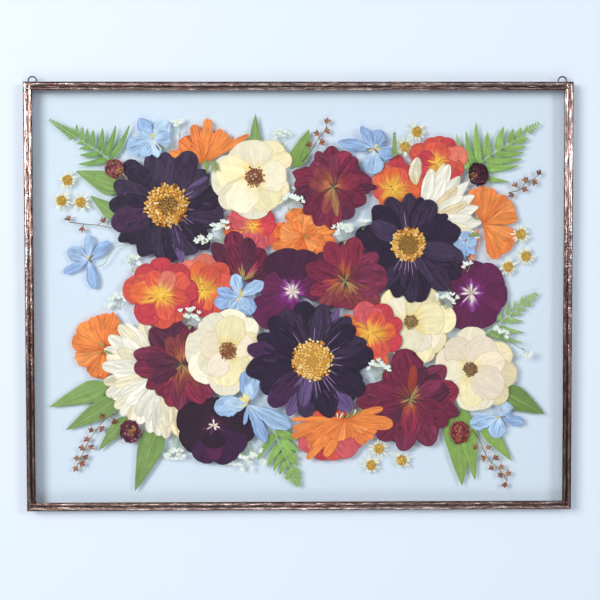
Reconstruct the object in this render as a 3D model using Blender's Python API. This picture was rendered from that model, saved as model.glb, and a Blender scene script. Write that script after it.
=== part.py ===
"""Pressed flower frame: two glass panes in one soldered copper border, with pressed flowers,
ferns and leaves laid in layers between the panes, and two wire rings on the top edge.

Lengths in the tables are millimetres; +X is to the right and +Z up as the frame hangs, and the
front faces -Y. The origin is at the middle of the bottom edge.
"""

import math

import bmesh
import bpy
from mathutils import Matrix, Vector

MM = 0.001
GOLDEN_ANGLE = 2.4  # radians: steps of it never repeat

# The frame
FRAME_WIDTH = 457.0
FRAME_HEIGHT = 358.0
FRAME_DEPTH = 11.0
BORDER_FACE = 7.2
BORDER_BACK = 5.6
GLASS_THICKNESS = 2.0
CLEARANCE = 0.3
GLASS_EDGE_COVER = 4.5  # how far the border reaches over the edge of a pane

# The layers of pressed plants, counted from the back pane
LAYERS = 8
PLATE = 0.2
PITCH = PLATE + CLEARANCE
FRONT_ROOM = 0.8  # between the front layer and the front pane, for raised flower hearts
PLANTS_UP = 1.0  # the height that the plants' places are measured from
PANE_GAP = LAYERS * PITCH + FRONT_ROOM
BACK_PANE_FACE = PANE_GAP / 2

# The hanging rings
RING_WIRE = 1.2
RING_OUTER = 8.0
RING_RISE = 1.3  # the ring's centre above the top edge
RING_LEFT_X = -221.5
RING_RIGHT_X = 220.0
RING_END_ANGLE = math.radians(14)
RING_POINTS = 13

# The border's section: how far in from the outer edge, and Y
SLOT_BOTTOM = BORDER_FACE - GLASS_EDGE_COVER - CLEARANCE
SLOT_OUTER = BACK_PANE_FACE + GLASS_THICKNESS + CLEARANCE
SLOT_INNER = BACK_PANE_FACE - CLEARANCE
RIB_EDGE = 5.4
HALF_DEPTH = FRAME_DEPTH / 2
EDGE_STRIP = 3.9  # half the width of the flat strip round the outer edge
UNEVENNESS = 0.18  # how far the beads wander, as hand-run solder does
STATIONS_LONG = 5
STATIONS_SHORT = 4

# Petals: (direction in degrees anticlockwise from the right, length, width)
PETALS = {
    "dark_dahlia_upper_left": [
        (37, 44.5, 17), (92, 44.5, 13.5), (110, 47, 13.5), (132, 50.5, 13.5), (160, 48, 14.5),
        (179, 48.5, 15), (197, 49.5, 18.5), (218, 50.5, 12), (240, 48.5, 17), (262, 47, 17),
        (278, 48, 13.5), (287, 50.5, 8.5), (302, 47, 18.5), (316, 50.5, 15), (350, 48.5, 18.5),
        (8, 50.5, 17), (65, 49.5, 17),
    ],
    "dark_dahlia_right": [
        (112, 43, 14.5), (91, 43, 12), (76, 41, 10), (60, 42, 15), (40, 41, 10), (14, 45.5, 20),
        (-15, 48, 17), (-33, 50.5, 17), (-50, 50.5, 17), (-74, 49.5, 17), (-90, 49, 12),
        (-105, 46, 13.5), (-121, 44.5, 12), (-150, 42, 15), (168, 45.5, 18.5), (185, 40.5, 13.5),
        (135, 43.5, 17),
    ],
    "dark_dahlia_centre": [
        (47, 48.5, 15), (62, 49.5, 8.5), (77, 48.5, 17), (98, 50.5, 18.5), (121, 48, 18.5),
        (136, 50.5, 13.5), (156, 50.5, 13.5), (170, 55.5, 13.5), (187, 56.5, 18.5), (208, 49.5, 17),
        (225, 52, 15), (247, 51, 13.5), (263, 48.5, 17), (287, 51, 18.5), (307, 54, 15),
        (328, 51, 17), (3, 52, 18.5), (22, 48.5, 15),
    ],
    "burgundy_dahlia_top": [
        (91, 34.5, 15), (117, 33, 12), (70, 32, 17), (51, 31, 12), (130, 28, 17), (157, 37, 13.5),
        (178, 33.5, 15), (193, 34.5, 12), (13, 32, 20), (0, 36, 7), (-29, 30, 18.5), (-62, 30, 15),
        (270, 35.5, 13.5), (246, 35.5, 15), (218, 33.5, 13.5),
    ],
    "burgundy_dahlia_centre_left": [
        (128, 40.5, 17), (103, 42, 17), (83, 36, 15), (58, 31, 13.5), (42, 27.5, 12),
    ],
    "burgundy_dahlia_centre": [
        (114, 36, 15), (79, 38, 17), (42, 36, 13.5), (1, 36, 25), (-31, 34.5, 17), (-75, 25, 13.5),
        (252, 23.5, 10), (224, 30, 10), (199, 31, 12), (158, 35.5, 17),
    ],
    "burgundy_dahlia_left": [
        (164, 42, 15), (187, 40.5, 15), (211, 36, 12), (232, 33, 14), (251, 37, 15),
        (263, 38.5, 13.5), (-64, 37, 15), (-45, 37, 15), (128, 40.5, 17), (99, 38.5, 18.5),
        (77, 34.5, 13.5),
    ],
    "burgundy_dahlia_lower_right": [
        (94, 43, 23.5), (42, 41, 17), (10, 42, 22), (-15, 43.5, 18.5), (-37, 38.5, 18.5),
        (-62, 43.5, 18.5), (265, 44.5, 20), (235, 43, 20), (210, 42, 15), (185, 45.5, 13.5),
        (165, 39.5, 15), (130, 33.5, 18.5),
    ],
    "cream_rose_top": [
        (270, 35.5, 32), (50, 35.5, 28.5), (28, 35.5, 17), (-30, 32, 24), (97, 31, 35),
        (175, 37, 38), (216, 38, 20), (-72, 30, 22),
    ],
    "cream_rose_left": [
        (79, 35.5, 30), (124, 34.5, 28.5), (47, 34.5, 20), (28, 28.5, 16), (-10, 25, 22),
        (315, 34, 28), (177, 36, 33.5), (216, 37, 28.5), (264, 38, 30),
    ],
    "cream_rose_right": [
        (90, 32, 26), (132, 33, 26), (51, 33.5, 26), (3, 38.5, 25), (-40, 30, 25), (287, 37, 23.5),
        (232, 30, 22), (180, 30, 25),
    ],
    "cream_rose_lower_right": [
        (87, 36, 25), (26, 38, 25), (-10, 39.5, 25), (-44, 40.5, 23.5), (-85, 35.5, 30),
        (215, 36, 26), (159, 31, 28.5), (123, 31, 25), (58, 31, 27),
    ],
    "coral_ranunculus_left": [
        (95, 30, 22), (48, 30.5, 20), (4, 30, 22), (-55, 28, 18.5), (-85, 30, 22), (-130, 31, 25),
        (170, 33, 25), (130, 29.5, 20),
    ],
    "coral_ranunculus_centre_left": [
        (82, 31, 24), (45, 30, 20), (15, 28, 20), (-25, 25, 18), (-55, 23.5, 18), (-90, 22.5, 20),
        (120, 28.5, 20), (180, 23.5, 22),
    ],
    "coral_ranunculus_upper_left": [
        (100, 15, 16), (160, 22.5, 18), (190, 25, 15), (25, 20, 18), (-10, 22, 16), (-35, 27, 14),
        (-60, 22, 15), (-100, 17, 16),
    ],
    "coral_ranunculus_top_right": [
        (80, 23, 16), (55, 24, 16), (14, 27, 20), (-18, 24, 16), (-42, 24, 14), (150, 25, 18),
        (110, 22, 14), (190, 22, 18), (-90, 20, 20),
    ],
    "coral_ranunculus_upper_right": [
        (10, 28.5, 22), (82, 28.5, 16), (48, 24, 18), (120, 24, 16), (160, 20, 14), (200, 17, 14),
        (240, 18, 14), (-50, 22, 18), (-95, 20, 18),
    ],
    "coral_ranunculus_right": [
        (105, 27.5, 20), (145, 27.5, 8), (60, 27.5, 20), (18, 27.5, 18), (-20, 27.5, 20),
        (-62, 30, 8), (-80, 24, 18), (180, 22, 18), (-120, 20, 18),
    ],
    "coral_ranunculus_bottom": [
        (204, 30, 20), (245, 26, 18), (278, 24.5, 18), (-47, 27.5, 20), (-18, 29, 18), (20, 24, 16),
        (60, 22, 18), (120, 22, 18), (170, 26, 16),
    ],
    "orange_cosmos_upper_left": [
        (33, 43, 5), (57, 33, 9), (70, 27, 10), (84, 38, 10), (104, 34, 11), (122, 30, 10),
        (137, 28.5, 11), (159, 30.5, 10), (175, 22, 10),
    ],
    "orange_cosmos_upper": [
        (0, 27, 14), (23, 25, 12), (45, 26, 13), (68, 25, 12), (90, 26, 13), (112, 26, 12),
        (135, 25, 13), (158, 26, 12), (180, 26, 13), (205, 24, 13), (230, 22, 13), (255, 18, 12),
        (280, 18, 12), (305, 20, 12), (335, 24, 13),
    ],
    "orange_cosmos_right": [
        (111, 30.5, 13), (95, 33, 12), (79, 34.5, 13), (55, 34, 13), (37, 33.5, 13), (14, 30.5, 14),
        (-10, 26, 13), (-33, 25, 12), (-56, 31.5, 12), (-76, 35.5, 13), (262, 29, 12),
    ],
    "orange_cosmos_left": [
        (66, 37, 11), (79, 36, 10), (98, 35, 12), (126, 30, 14), (162, 27.5, 14), (196, 28, 14),
        (219, 24, 12), (246, 29.5, 13), (277, 22, 13), (320, 20, 14), (25, 24, 14),
    ],
    "orange_cosmos_bottom": [
        (-8, 41, 12.5), (14.5, 33.5, 6.5), (180, 45, 4), (192, 45, 8), (200, 48.5, 7),
        (212, 38, 12), (228, 46.5, 8), (244.5, 36.5, 9), (265, 18, 14), (-31, 27.5, 14),
        (-49, 28, 10),
    ],
    "violet_pansy_centre": [
        (108, 37, 30), (62, 37, 30), (170, 27, 26), (220, 40, 28), (265, 34, 26), (-10, 26, 24),
    ],
    "violet_pansy_right": [
        (88, 28, 28), (45, 31, 24), (22, 30, 16), (-5, 31, 24), (-35, 29, 20), (-64, 32, 22),
        (-108, 32, 26), (170, 24, 24),
    ],
    "dark_pansy_bottom": [
        (165, 32.5, 26), (212, 32, 26), (250, 33.5, 24), (-68, 35, 26), (-38, 33, 20),
        (-5, 35.5, 26), (28, 33, 22), (75, 24, 24), (120, 27, 24),
    ],
    "white_mum_left": [
        (112, 51, 11), (132, 56, 11), (146, 56, 11), (155, 54, 11), (171, 52, 11), (187, 50.5, 11),
        (198, 51, 11), (213, 49.5, 11), (223, 49.5, 11), (233, 48, 11), (255, 50.5, 11),
        (265, 52, 11), (273, 54, 11), (284, 53.5, 10),
    ],
    "white_mum_right": [
        (100, 56, 11), (87, 51, 11), (74, 55, 11), (66, 55.5, 11), (55, 51.5, 11), (44, 53, 11),
        (31, 50, 11), (18, 49.5, 11), (5, 49.5, 11), (-10, 49.5, 11),
    ],
    "delphinium_upper_left": [
        (122, 20.5, 11), (204, 23, 15), (49, 20, 14), (5, 15, 12), (240, 17, 12), (288, 16, 8),
    ],
    "delphinium_left": [
        (90, 21, 7), (38, 23.5, 8), (151, 19, 12), (210, 23.5, 6), (-78, 25, 8.5),
    ],
    "delphinium_centre_left": [
        (105, 18.5, 10), (35, 23, 11), (167, 19.5, 8.5), (200, 22, 8.5), (-50, 17.5, 12),
    ],
    "delphinium_top": [
        (117, 22, 6), (69, 16.5, 12), (166, 31, 10), (270, 21, 16), (-18, 18.5, 11),
    ],
    "delphinium_right": [
        (82, 9, 9), (189, 12, 9), (270, 12, 9), (-50, 13.5, 8), (-12, 10, 9),
    ],
    "delphinium_bottom": [
        (99, 27, 10), (73, 26.5, 10), (183, 28, 16.5), (264, 17.5, 4), (-65, 35.5, 8), (-31, 41, 13),
    ],
    "delphinium_lower_right": [
        (198, 25.5, 12), (258, 18, 13), (-14, 21, 8), (65, 14, 12),
    ],
}

WIDEST_AT = 0.62  # where along its length a petal is widest
BLUNTNESS = 2.6  # how square a petal's tip is
FOOT_SPREAD = 1.08  # how much wider an angle a petal fills at its foot
BROAD = 0.55  # width to length, past which a petal's rounding takes five points
WIDE_GAP = 70.0  # degrees to the next petal, past which the core shows between them
CLOSEST = 2.5  # degrees between two points of an outline
VALLEY_HEIGHT = 0.4  # the plate's thickness between two petals, as a share

# Where each flower lies: centre X, Z, layer, smallest radius, heart radius, heart height, colour
FLOWERS = {
    "dark_dahlia_upper_left": (-110.5, 255, 1, 30, 18.5, 1.4, "#3b2b45"),
    "dark_dahlia_right": (91.5, 222, 4, 28, 14.5, 0.9, "#3b2b45"),
    "dark_dahlia_centre": (10.5, 125, 7, 30, 17.5, 0.5, "#3b2b45"),
    "burgundy_dahlia_top": (29, 270, 3, 20, 4, 0.3, "#7a1f4a"),
    "burgundy_dahlia_centre_left": (-47, 192.5, 1, 9, 4, 0, "#6a1c48"),
    "burgundy_dahlia_centre": (38, 191.5, 5, 17, 4, 0.3, "#7a1f4a"),
    "burgundy_dahlia_left": (-98.5, 121.5, 3, 18, 4, 0, "#7a1f4a"),
    "burgundy_dahlia_lower_right": (93, 92, 4, 24, 5, 0.3, "#7a1f4a"),
    "cream_rose_top": (-37.5, 278.5, 2, 24, 8, 0.8, "#f4ead0"),
    "cream_rose_left": (-60, 133, 4, 20, 8, 0.8, "#f4ead0"),
    "cream_rose_right": (93.5, 157, 2, 22, 6, 0.6, "#f4ead0"),
    "cream_rose_lower_right": (144, 117, 3, 24, 6, 0.8, "#f4ead0"),
    "coral_ranunculus_left": (-115, 181.5, 4, 24, 8, 0.3, "#d8423a"),
    "coral_ranunculus_centre_left": (-81.5, 184, 2, 18, 7, 0, "#d8423a"),
    "coral_ranunculus_upper_left": (-39, 237.5, 0, 13, 6, 0, "#d8423a"),
    "coral_ranunculus_top_right": (115, 290, 1, 16, 7, 0, "#d8423a"),
    "coral_ranunculus_upper_right": (78.5, 269, 0, 14, 7, 0, "#e0503a"),
    "coral_ranunculus_right": (60, 148, 6, 17, 6, 0.3, "#e0503a"),
    "coral_ranunculus_bottom": (26.5, 64.5, 3, 16, 6, 0, "#d8423a"),
    "orange_cosmos_upper_left": (-80, 290, 0, 7, 5, 0, "#f58634"),
    "orange_cosmos_upper": (3, 228.5, 1, 14, 6, 0, "#f58634"),
    "orange_cosmos_right": (154, 239, 0, 13, 5, 0, "#f58634"),
    "orange_cosmos_left": (-163.5, 134, 0, 12, 5, 0, "#f07a2c"),
    "orange_cosmos_bottom": (38, 76, 5, 8, 5, 0, "#f58634"),
    "violet_pansy_centre": (-5.5, 183, 2, 18, 3, 0, "#6b2658"),
    "violet_pansy_right": (144.5, 181, 1, 18, 3, 0, "#6b2658"),
    "dark_pansy_bottom": (-72, 70.5, 2, 20, 3, 0, "#2d1729"),
    "white_mum_left": (-114.5, 113, 1, 22, 8, 0, "#f4f1e6"),
    "white_mum_right": (103.5, 238, 2, 22, 8, 0, "#f4f1e6"),
    "delphinium_upper_left": (-122, 310, 2, 4, 2.5, 0.3, "#a9c6ee"),
    "delphinium_left": (-176.5, 209.5, 0, 3.5, 2.5, 0.3, "#a9c6ee"),
    "delphinium_centre_left": (-50, 178.5, 3, 4, 2.5, 0.3, "#a9c6ee"),
    "delphinium_top": (62.5, 301.5, 4, 4, 2.5, 0.3, "#a9c6ee"),
    "delphinium_right": (139, 224, 3, 4, 2.5, 0.3, "#a9c6ee"),
    "delphinium_bottom": (-43.5, 88, 5, 4, 2.5, 0.3, "#a9c6ee"),
    "delphinium_lower_right": (169, 76.5, 1, 4, 2.5, 0, "#a9c6ee"),
}

# Leaves: tip X, Z, base X, Z, width
LEAVES = {
    "leaf_upper_left": (-186.5, 283.5, -147, 269, 20),
    "leaf_upper_left_low": (-174.5, 263, -150, 244, 13),
    "leaf_top_left": (-36.5, 331, -37, 296, 10),
    "leaf_top": (8.5, 318, -4, 286, 15),
    "leaf_left_upper": (-210, 85.5, -160, 105, 18.5),
    "leaf_left_middle": (-196, 66, -149, 95, 18),
    "leaf_left_lower": (-169.5, 49, -145, 78, 12.5),
    "leaf_bottom": (-138.5, 14.5, -118.5, 72, 22.5),
    "leaf_lower_right": (179, 38.5, 153, 74, 14),
    "leaf_right": (206.5, 78.5, 176, 97, 17),
}
LEAF_STATIONS = 6
LEAF_SHAPE = 1.3  # above 1 puts a leaf's widest place nearer its base
LEAF_EDGE = 0.6  # the thickness of a leaf's edge, as a share of its midrib's

# The split leaf at the lower right, as an outline from its first tip anticlockwise
SPLIT_LEAF_OUTLINE = [
    (137.5, 18), (139.5, 33.5), (148.5, 22.5), (147.5, 45), (145.5, 64), (141, 78),
    (131, 80), (122.5, 68), (119.5, 52.5), (127, 37),
]

# Fronds: the stalk from base to tip, then the leaflets as (place along the stalk, tip X, Z, width)
FRONDS = {
    "fern_upper_left": (
        [(-156, 291), (-166, 299), (-177, 306), (-187, 312.5), (-208.5, 326.5)],
        [
            (0.05, -141.5, 321.5, 4.5), (0.13, -153, 321, 5.5), (0.22, -164, 319, 5),
            (0.34, -171.5, 317.5, 3.5), (0.43, -176.5, 318.5, 3), (0.5, -180.5, 320, 3),
            (0.57, -185.5, 322.5, 3),
        ],
        [
            (0.08, -183.5, 289.5, 5), (0.2, -182.5, 297, 4.5), (0.34, -183, 302.5, 3.5),
            (0.46, -185, 306.5, 3),
        ],
    ),
    "fern_upper_right": (
        [(143, 281), (157, 294), (171, 303), (184, 311), (201.5, 324)],
        [
            (0.03, 176, 274.5, 5), (0.12, 184, 288, 6), (0.24, 186.5, 293.5, 5.5),
            (0.37, 188, 299, 5), (0.5, 190, 304, 4), (0.62, 190.5, 309, 3), (0.7, 192.5, 310.5, 2.5),
        ],
        [
            (0.02, 132, 313.5, 5), (0.09, 140, 316, 5.5), (0.17, 148.5, 323, 6), (0.28, 158, 315.5, 6),
            (0.42, 171.5, 320, 6), (0.58, 179.5, 318.5, 4.5), (0.7, 185.5, 319.5, 3.5),
            (0.81, 190, 319.5, 2.5),
        ],
    ),
    "fern_right": (
        [(156, 146), (168.5, 156), (180, 165), (190, 173), (202, 182)],
        [
            (0.08, 187.5, 139.5, 4), (0.2, 188.5, 148, 4), (0.36, 187.5, 157.5, 4),
            (0.5, 187.5, 163.5, 3), (0.6, 191, 167, 3), (0.7, 195, 171, 3),
        ],
        [
            (0.3, 168, 167, 3.5), (0.44, 176, 173, 3.5), (0.57, 181.5, 174.5, 3),
            (0.68, 187, 176.5, 3),
        ],
    ),
    "fern_bottom": (
        [(-22, 68), (-16, 52), (-10, 38), (-5, 27), (0, 16.5)],
        [
            (0.1, -35, 41, 5), (0.28, -27, 35.5, 5), (0.42, -22, 31.5, 4.5), (0.55, -17, 28, 4),
            (0.68, -11.5, 24, 3.5),
        ],
        [
            (0.06, -2, 57, 6), (0.22, -1, 48, 6), (0.36, -1.5, 41, 5), (0.48, -1.0, 36, 3.5),
            (0.62, -1.0, 31, 2.5),
        ],
    ),
}
STALK_WIDTH = 1.2
LEAFLET_BELLY = 0.45  # where along its length a leaflet is widest
LEAFLET_FOOT = 0.25  # half the width of a leaflet's foot, as a share of its width

# Knobbly heads: X, Z, half width, half height, layer, tilt in degrees
HEADS = {
    "burnet_head_upper_left": (-154, 285.5, 8, 8, 2, 0),
    "burnet_head_lower_left": (-142.5, 65, 9, 10, 1, 20),
    "burnet_head_upper_right": (150, 280.5, 9, 10, 3, 15),
    "burnet_head_lower_right": (135, 63.5, 8.5, 10, 1, 0),
}
HEAD_THICKNESS = 1.4
KNOB = 0.06  # how far the knobs stand out, as a part of the radius


def material(name, colour, roughness, metallic=0.0):
    """A plain Principled surface from an sRGB colour like #rrggbb."""
    channels = [int(colour[i:i + 2], 16) / 255 for i in (1, 3, 5)]
    linear = [c / 12.92 if c <= 0.04045 else ((c + 0.055) / 1.055) ** 2.4 for c in channels]
    made = bpy.data.materials.new(name)
    made.use_nodes = True
    shader = made.node_tree.nodes["Principled BSDF"]
    shader.inputs["Base Color"].default_value = (*linear, 1.0)
    shader.inputs["Roughness"].default_value = roughness
    shader.inputs["Metallic"].default_value = metallic
    return made


def add_object(name, bm, surface, up=0.0):
    """Raise a bmesh in millimetres and turn it into a named object in metres."""
    bmesh.ops.translate(bm, vec=Vector((0, 0, up)), verts=bm.verts)
    bmesh.ops.scale(bm, vec=Vector((MM, MM, MM)), verts=bm.verts)
    bmesh.ops.recalc_face_normals(bm, faces=bm.faces)
    mesh = bpy.data.meshes.new(name)
    bm.to_mesh(mesh)
    bm.free()
    mesh.materials.append(surface)
    made = bpy.data.objects.new(name, mesh)
    bpy.context.scene.collection.objects.link(made)
    return made


def layer_back(layer):
    """Y of the back of a layer."""
    return BACK_PANE_FACE - CLEARANCE - layer * PITCH


def ring(bm, points):
    return [bm.verts.new(point) for point in points]


def skin(bm, first, second):
    """Quads between two closed rings with as many points each."""
    count = len(first)
    for i in range(count):
        j = (i + 1) % count
        bm.faces.new((first[i], first[j], second[j], second[i]))


def polar(centre, radius, angle, y):
    x, z = centre
    return (x + radius * math.cos(angle), y, z + radius * math.sin(angle))


def glass_pane(name, side, surface):
    """One pane, on the back (side 1) or the front (side -1)."""
    bm = bmesh.new()
    bmesh.ops.create_cube(bm, size=1.0)
    inset = 2 * (BORDER_FACE - GLASS_EDGE_COVER)
    size = Vector((FRAME_WIDTH - inset, GLASS_THICKNESS, FRAME_HEIGHT - inset))
    bmesh.ops.scale(bm, vec=size, verts=bm.verts)
    middle = side * (BACK_PANE_FACE + GLASS_THICKNESS / 2)
    bmesh.ops.translate(bm, vec=Vector((0, middle, FRAME_HEIGHT / 2)), verts=bm.verts)
    add_object(name, bm, surface)


def border_section(ripple):
    """The border's section: two beads in front, and a slot for each pane with a rib between."""
    front = -HALF_DEPTH
    return [
        (0.0, EDGE_STRIP), (0.0, -EDGE_STRIP), (0.9, front + 0.4), (2.3 + ripple, front),
        (3.6, front + 0.3 + ripple * 0.3), (4.3, front + 0.5), (5.0, front + 0.3),
        (5.8 - ripple, front + 0.1), (6.7, front + 0.3), (BORDER_FACE + ripple, front + 0.5),
        (BORDER_FACE + ripple, -SLOT_OUTER), (SLOT_BOTTOM, -SLOT_OUTER),
        (SLOT_BOTTOM, -SLOT_INNER), (RIB_EDGE, -SLOT_INNER), (RIB_EDGE, SLOT_INNER),
        (SLOT_BOTTOM, SLOT_INNER), (SLOT_BOTTOM, SLOT_OUTER), (BORDER_BACK, SLOT_OUTER),
        (BORDER_BACK, HALF_DEPTH - 0.3), (BORDER_BACK - 0.6, HALF_DEPTH), (0.9, HALF_DEPTH),
    ]


def border_stations():
    """Around the outer edge: a point on it, and the way inwards from it."""
    half = FRAME_WIDTH / 2
    corners = [(-half, 0.0), (half, 0.0), (half, FRAME_HEIGHT), (-half, FRAME_HEIGHT)]
    inwards = [(0, 1), (-1, 0), (0, -1), (1, 0)]
    for i, (start, inward) in enumerate(zip(corners, inwards)):
        end = corners[(i + 1) % 4]
        before = inwards[i - 1]
        yield start, (inward[0] + before[0], inward[1] + before[1])
        count = STATIONS_LONG if i % 2 == 0 else STATIONS_SHORT
        for step in range(1, count + 1):
            share = step / (count + 1)
            x = start[0] + (end[0] - start[0]) * share
            z = start[1] + (end[1] - start[1]) * share
            yield (x, z), inward


def copper_border(surface):
    """The section swept round the frame, a little uneven as hand-run solder is."""
    bm = bmesh.new()
    rings = []
    for index, ((x, z), (in_x, in_z)) in enumerate(border_stations()):
        at_corner = abs(in_x) + abs(in_z) == 2
        ripple = 0.0 if at_corner else UNEVENNESS * math.sin(index * GOLDEN_ANGLE)
        section = border_section(ripple)
        rings.append(ring(bm, [(x + s * in_x, y, z + s * in_z) for s, y in section]))
    for first, second in zip(rings, rings[1:] + rings[:1]):
        skin(bm, first, second)
    add_object("copper_border", bm, surface)


def hanging_ring(name, x, surface):
    """A wire arch whose two feet stand just clear of the top edge."""
    radius = (RING_OUTER - RING_WIRE) / 2
    curve = bpy.data.curves.new(name, "CURVE")
    curve.dimensions = "3D"
    curve.bevel_depth = RING_WIRE / 2 * MM
    curve.bevel_resolution = 2
    curve.use_fill_caps = True
    wire = curve.splines.new("POLY")
    wire.points.add(RING_POINTS - 1)
    sweep = math.pi + 2 * RING_END_ANGLE
    for i, point in enumerate(wire.points):
        angle = -RING_END_ANGLE + sweep * i / (RING_POINTS - 1)
        spot = polar((x, FRAME_HEIGHT + RING_RISE), radius, angle, 0.0)
        point.co = (spot[0] * MM, spot[1] * MM, spot[2] * MM, 1.0)
    curve.materials.append(surface)
    made = bpy.data.objects.new(name, curve)
    bpy.context.scene.collection.objects.link(made)


def half_spread(length, width):
    """Half the angle that a petal fills, in degrees."""
    return math.degrees(math.atan(width / 2 / (WIDEST_AT * length)))


def petal_reach(petal, angle):
    """How far a petal reaches from the flower's centre in one direction."""
    direction, length, width = petal
    off = (math.degrees(angle) - direction + 180) % 360 - 180
    share = abs(off) / (half_spread(length, width) * FOOT_SPREAD)
    return length * (1 - share ** BLUNTNESS) ** (1 / BLUNTNESS) if share < 1 else 0.0


def flower_outline(petals, core):
    """(angle, radius, height share) round a flower: petal tips, shoulders and the valleys."""
    def reach(angle):
        return max(core, max(petal_reach(petal, angle) for petal in petals))

    marks = []
    order = sorted(petals, key=lambda petal: petal[0] % 360)
    for petal, after in zip(order, order[1:] + order[:1]):
        direction, length, width = petal
        half = half_spread(length, width)
        broad = width > BROAD * length
        spread = (-0.8, -0.4, 0.0, 0.4, 0.8) if broad else (-0.6, 0.0, 0.6)
        marks += [(direction + share * half, 1.0) for share in spread]
        span = (after[0] - direction) % 360 or 360
        steps = [direction + span * i / 40 for i in range(1, 40)]
        low = min(steps, key=lambda step: reach(math.radians(step)))
        marks.append((low, VALLEY_HEIGHT))
        if span > WIDE_GAP:
            marks += [(direction + span * share, VALLEY_HEIGHT) for share in (0.35, 0.65)]
    kept = []
    for degrees, height in sorted((mark[0] % 360, mark[1]) for mark in marks):
        if not kept or degrees - kept[-1][0] > CLOSEST:
            kept.append((degrees, height))
    if kept[0][0] + 360 - kept[-1][0] < CLOSEST:
        kept.pop()
    return [(math.radians(d), reach(math.radians(d)), height) for d, height in kept]


def zip_fan(bm, outer, inner):
    """Triangles between a ring and a smaller ring inside it, both (angle, vertex)."""
    turns = [(angle, 0, i) for i, (angle, _) in enumerate(outer)]
    turns += [(angle, 1, i) for i, (angle, _) in enumerate(inner)]
    turns.sort()
    at = [len(outer) - 1, len(inner) - 1]
    for _, which, i in turns:
        near = (outer, inner)[which]
        far = (inner, outer)[which]
        bm.faces.new((near[at[which]][1], near[i][1], far[at[1 - which]][1]))
        at[which] = i


def flower(name, surface):
    """A pressed flower: a thin plate in the outline of its petals, with a raised heart."""
    x, z, layer, core, heart, rise, _ = FLOWERS[name]
    centre = (x, z)
    back = layer_back(layer)
    outline = flower_outline(PETALS[name], core)
    bm = bmesh.new()
    behind = ring(bm, [polar(centre, r, a, back) for a, r, _ in outline])
    edge = ring(bm, [polar(centre, r, a, back - PLATE * h) for a, r, h in outline])
    skin(bm, behind, edge)
    bm.faces.new(behind)
    sides = 12 if heart > 5 else 8
    angles = [2 * math.pi * (i + 0.5) / sides for i in range(sides)]
    foot = ring(bm, [polar(centre, heart, a, back - PLATE) for a in angles])
    zip_fan(bm, list(zip([a for a, _, _ in outline], edge)), list(zip(angles, foot)))
    top = foot
    if rise:
        height = back - PLATE - rise
        top = ring(bm, [polar(centre, heart * 0.8, a, height) for a in angles])
        skin(bm, foot, top)
    bm.faces.new(top)
    add_object(name, bm, surface, PLANTS_UP)


def leaf(name, surface):
    """A lance-shaped leaf, thickest along its midrib."""
    tip_x, tip_z, base_x, base_z, width = LEAVES[name]
    back = layer_back(0)
    along = Vector((base_x - tip_x, 0, base_z - tip_z))
    across = Vector((-along.z, 0, along.x)).normalized()
    tip = Vector((tip_x, back, tip_z))
    left, middle, right = [], [], []
    for i in range(1, LEAF_STATIONS + 1):
        share = i / (LEAF_STATIONS + 1)
        half = width / 2 * math.sin(math.pi * share ** LEAF_SHAPE)
        middle.append(tip + along * share)
        left.append(middle[-1] + across * half)
        right.append(middle[-1] - across * half)
    base = tip + along
    outline = [tip, *left, base, *reversed(right)]
    bm = bmesh.new()
    behind = ring(bm, outline)
    edge = ring(bm, [point - Vector((0, PLATE * LEAF_EDGE, 0)) for point in outline])
    skin(bm, behind, edge)
    bm.faces.new(behind)
    rib = ring(bm, [point - Vector((0, PLATE, 0)) for point in middle])
    one_side = edge[:LEAF_STATIONS + 2]
    other_side = [edge[0], *reversed(edge[LEAF_STATIONS + 1:])]
    for side in (one_side, other_side):
        bm.faces.new((side[0], side[1], rib[0]))
        bm.faces.new((side[-2], side[-1], rib[-1]))
        for i in range(LEAF_STATIONS - 1):
            bm.faces.new((side[i + 1], side[i + 2], rib[i + 1], rib[i]))
    add_object(name, bm, surface, PLANTS_UP)


def plate(name, outline, layer, surface):
    """A flat plate with any outline."""
    back = layer_back(layer)
    bm = bmesh.new()
    face = bm.faces.new(ring(bm, [(x, back, z) for x, z in outline]))
    grown = bmesh.ops.extrude_face_region(bm, geom=[face])
    front = [item for item in grown["geom"] if isinstance(item, bmesh.types.BMVert)]
    bmesh.ops.translate(bm, vec=Vector((0, -PLATE, 0)), verts=front)
    add_object(name, bm, surface, PLANTS_UP)


def along_stalk(stalk, share):
    """The point at a share of a stalk's length, and the stalk's direction there."""
    points = [Vector(point) for point in stalk]
    lengths = [(b - a).length for a, b in zip(points, points[1:])]
    left = share * sum(lengths)
    for a, b, length in zip(points, points[1:], lengths):
        if left <= length:
            break
        left -= length
    way = (b - a).normalized()
    return a + way * left, way


def leaflet_outline(stalk, leaflet, side):
    """One leaflet's outline from its root nearer the stalk's base to the root past it."""
    share, tip_x, tip_z, width = leaflet
    root, way = along_stalk(stalk, share)
    tip = Vector((tip_x, tip_z))
    out = tip - root
    across = Vector((-out.y, out.x)).normalized() * side
    belly = root + out * LEAFLET_BELLY
    beside = Vector((way.y, -way.x)) * side * STALK_WIDTH / 2
    foot = way * width * LEAFLET_FOOT
    return [
        root + beside - foot, belly - across * width / 2, tip,
        belly + across * width / 2, root + beside + foot,
    ]


def frond(name, surface):
    """A fern frond: its stalk and leaflets as one plate."""
    stalk, right, left = FRONDS[name]
    outline = []
    for leaflet in sorted(right):
        outline += leaflet_outline(stalk, leaflet, 1)
    outline.append(Vector(stalk[-1]))
    for leaflet in sorted(left, reverse=True):
        outline += reversed(leaflet_outline(stalk, leaflet, -1))
    start, way = along_stalk(stalk, 0)
    outline.append(start - way * STALK_WIDTH)
    plate(name, [(point.x, point.y) for point in outline], 0, surface)


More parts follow.
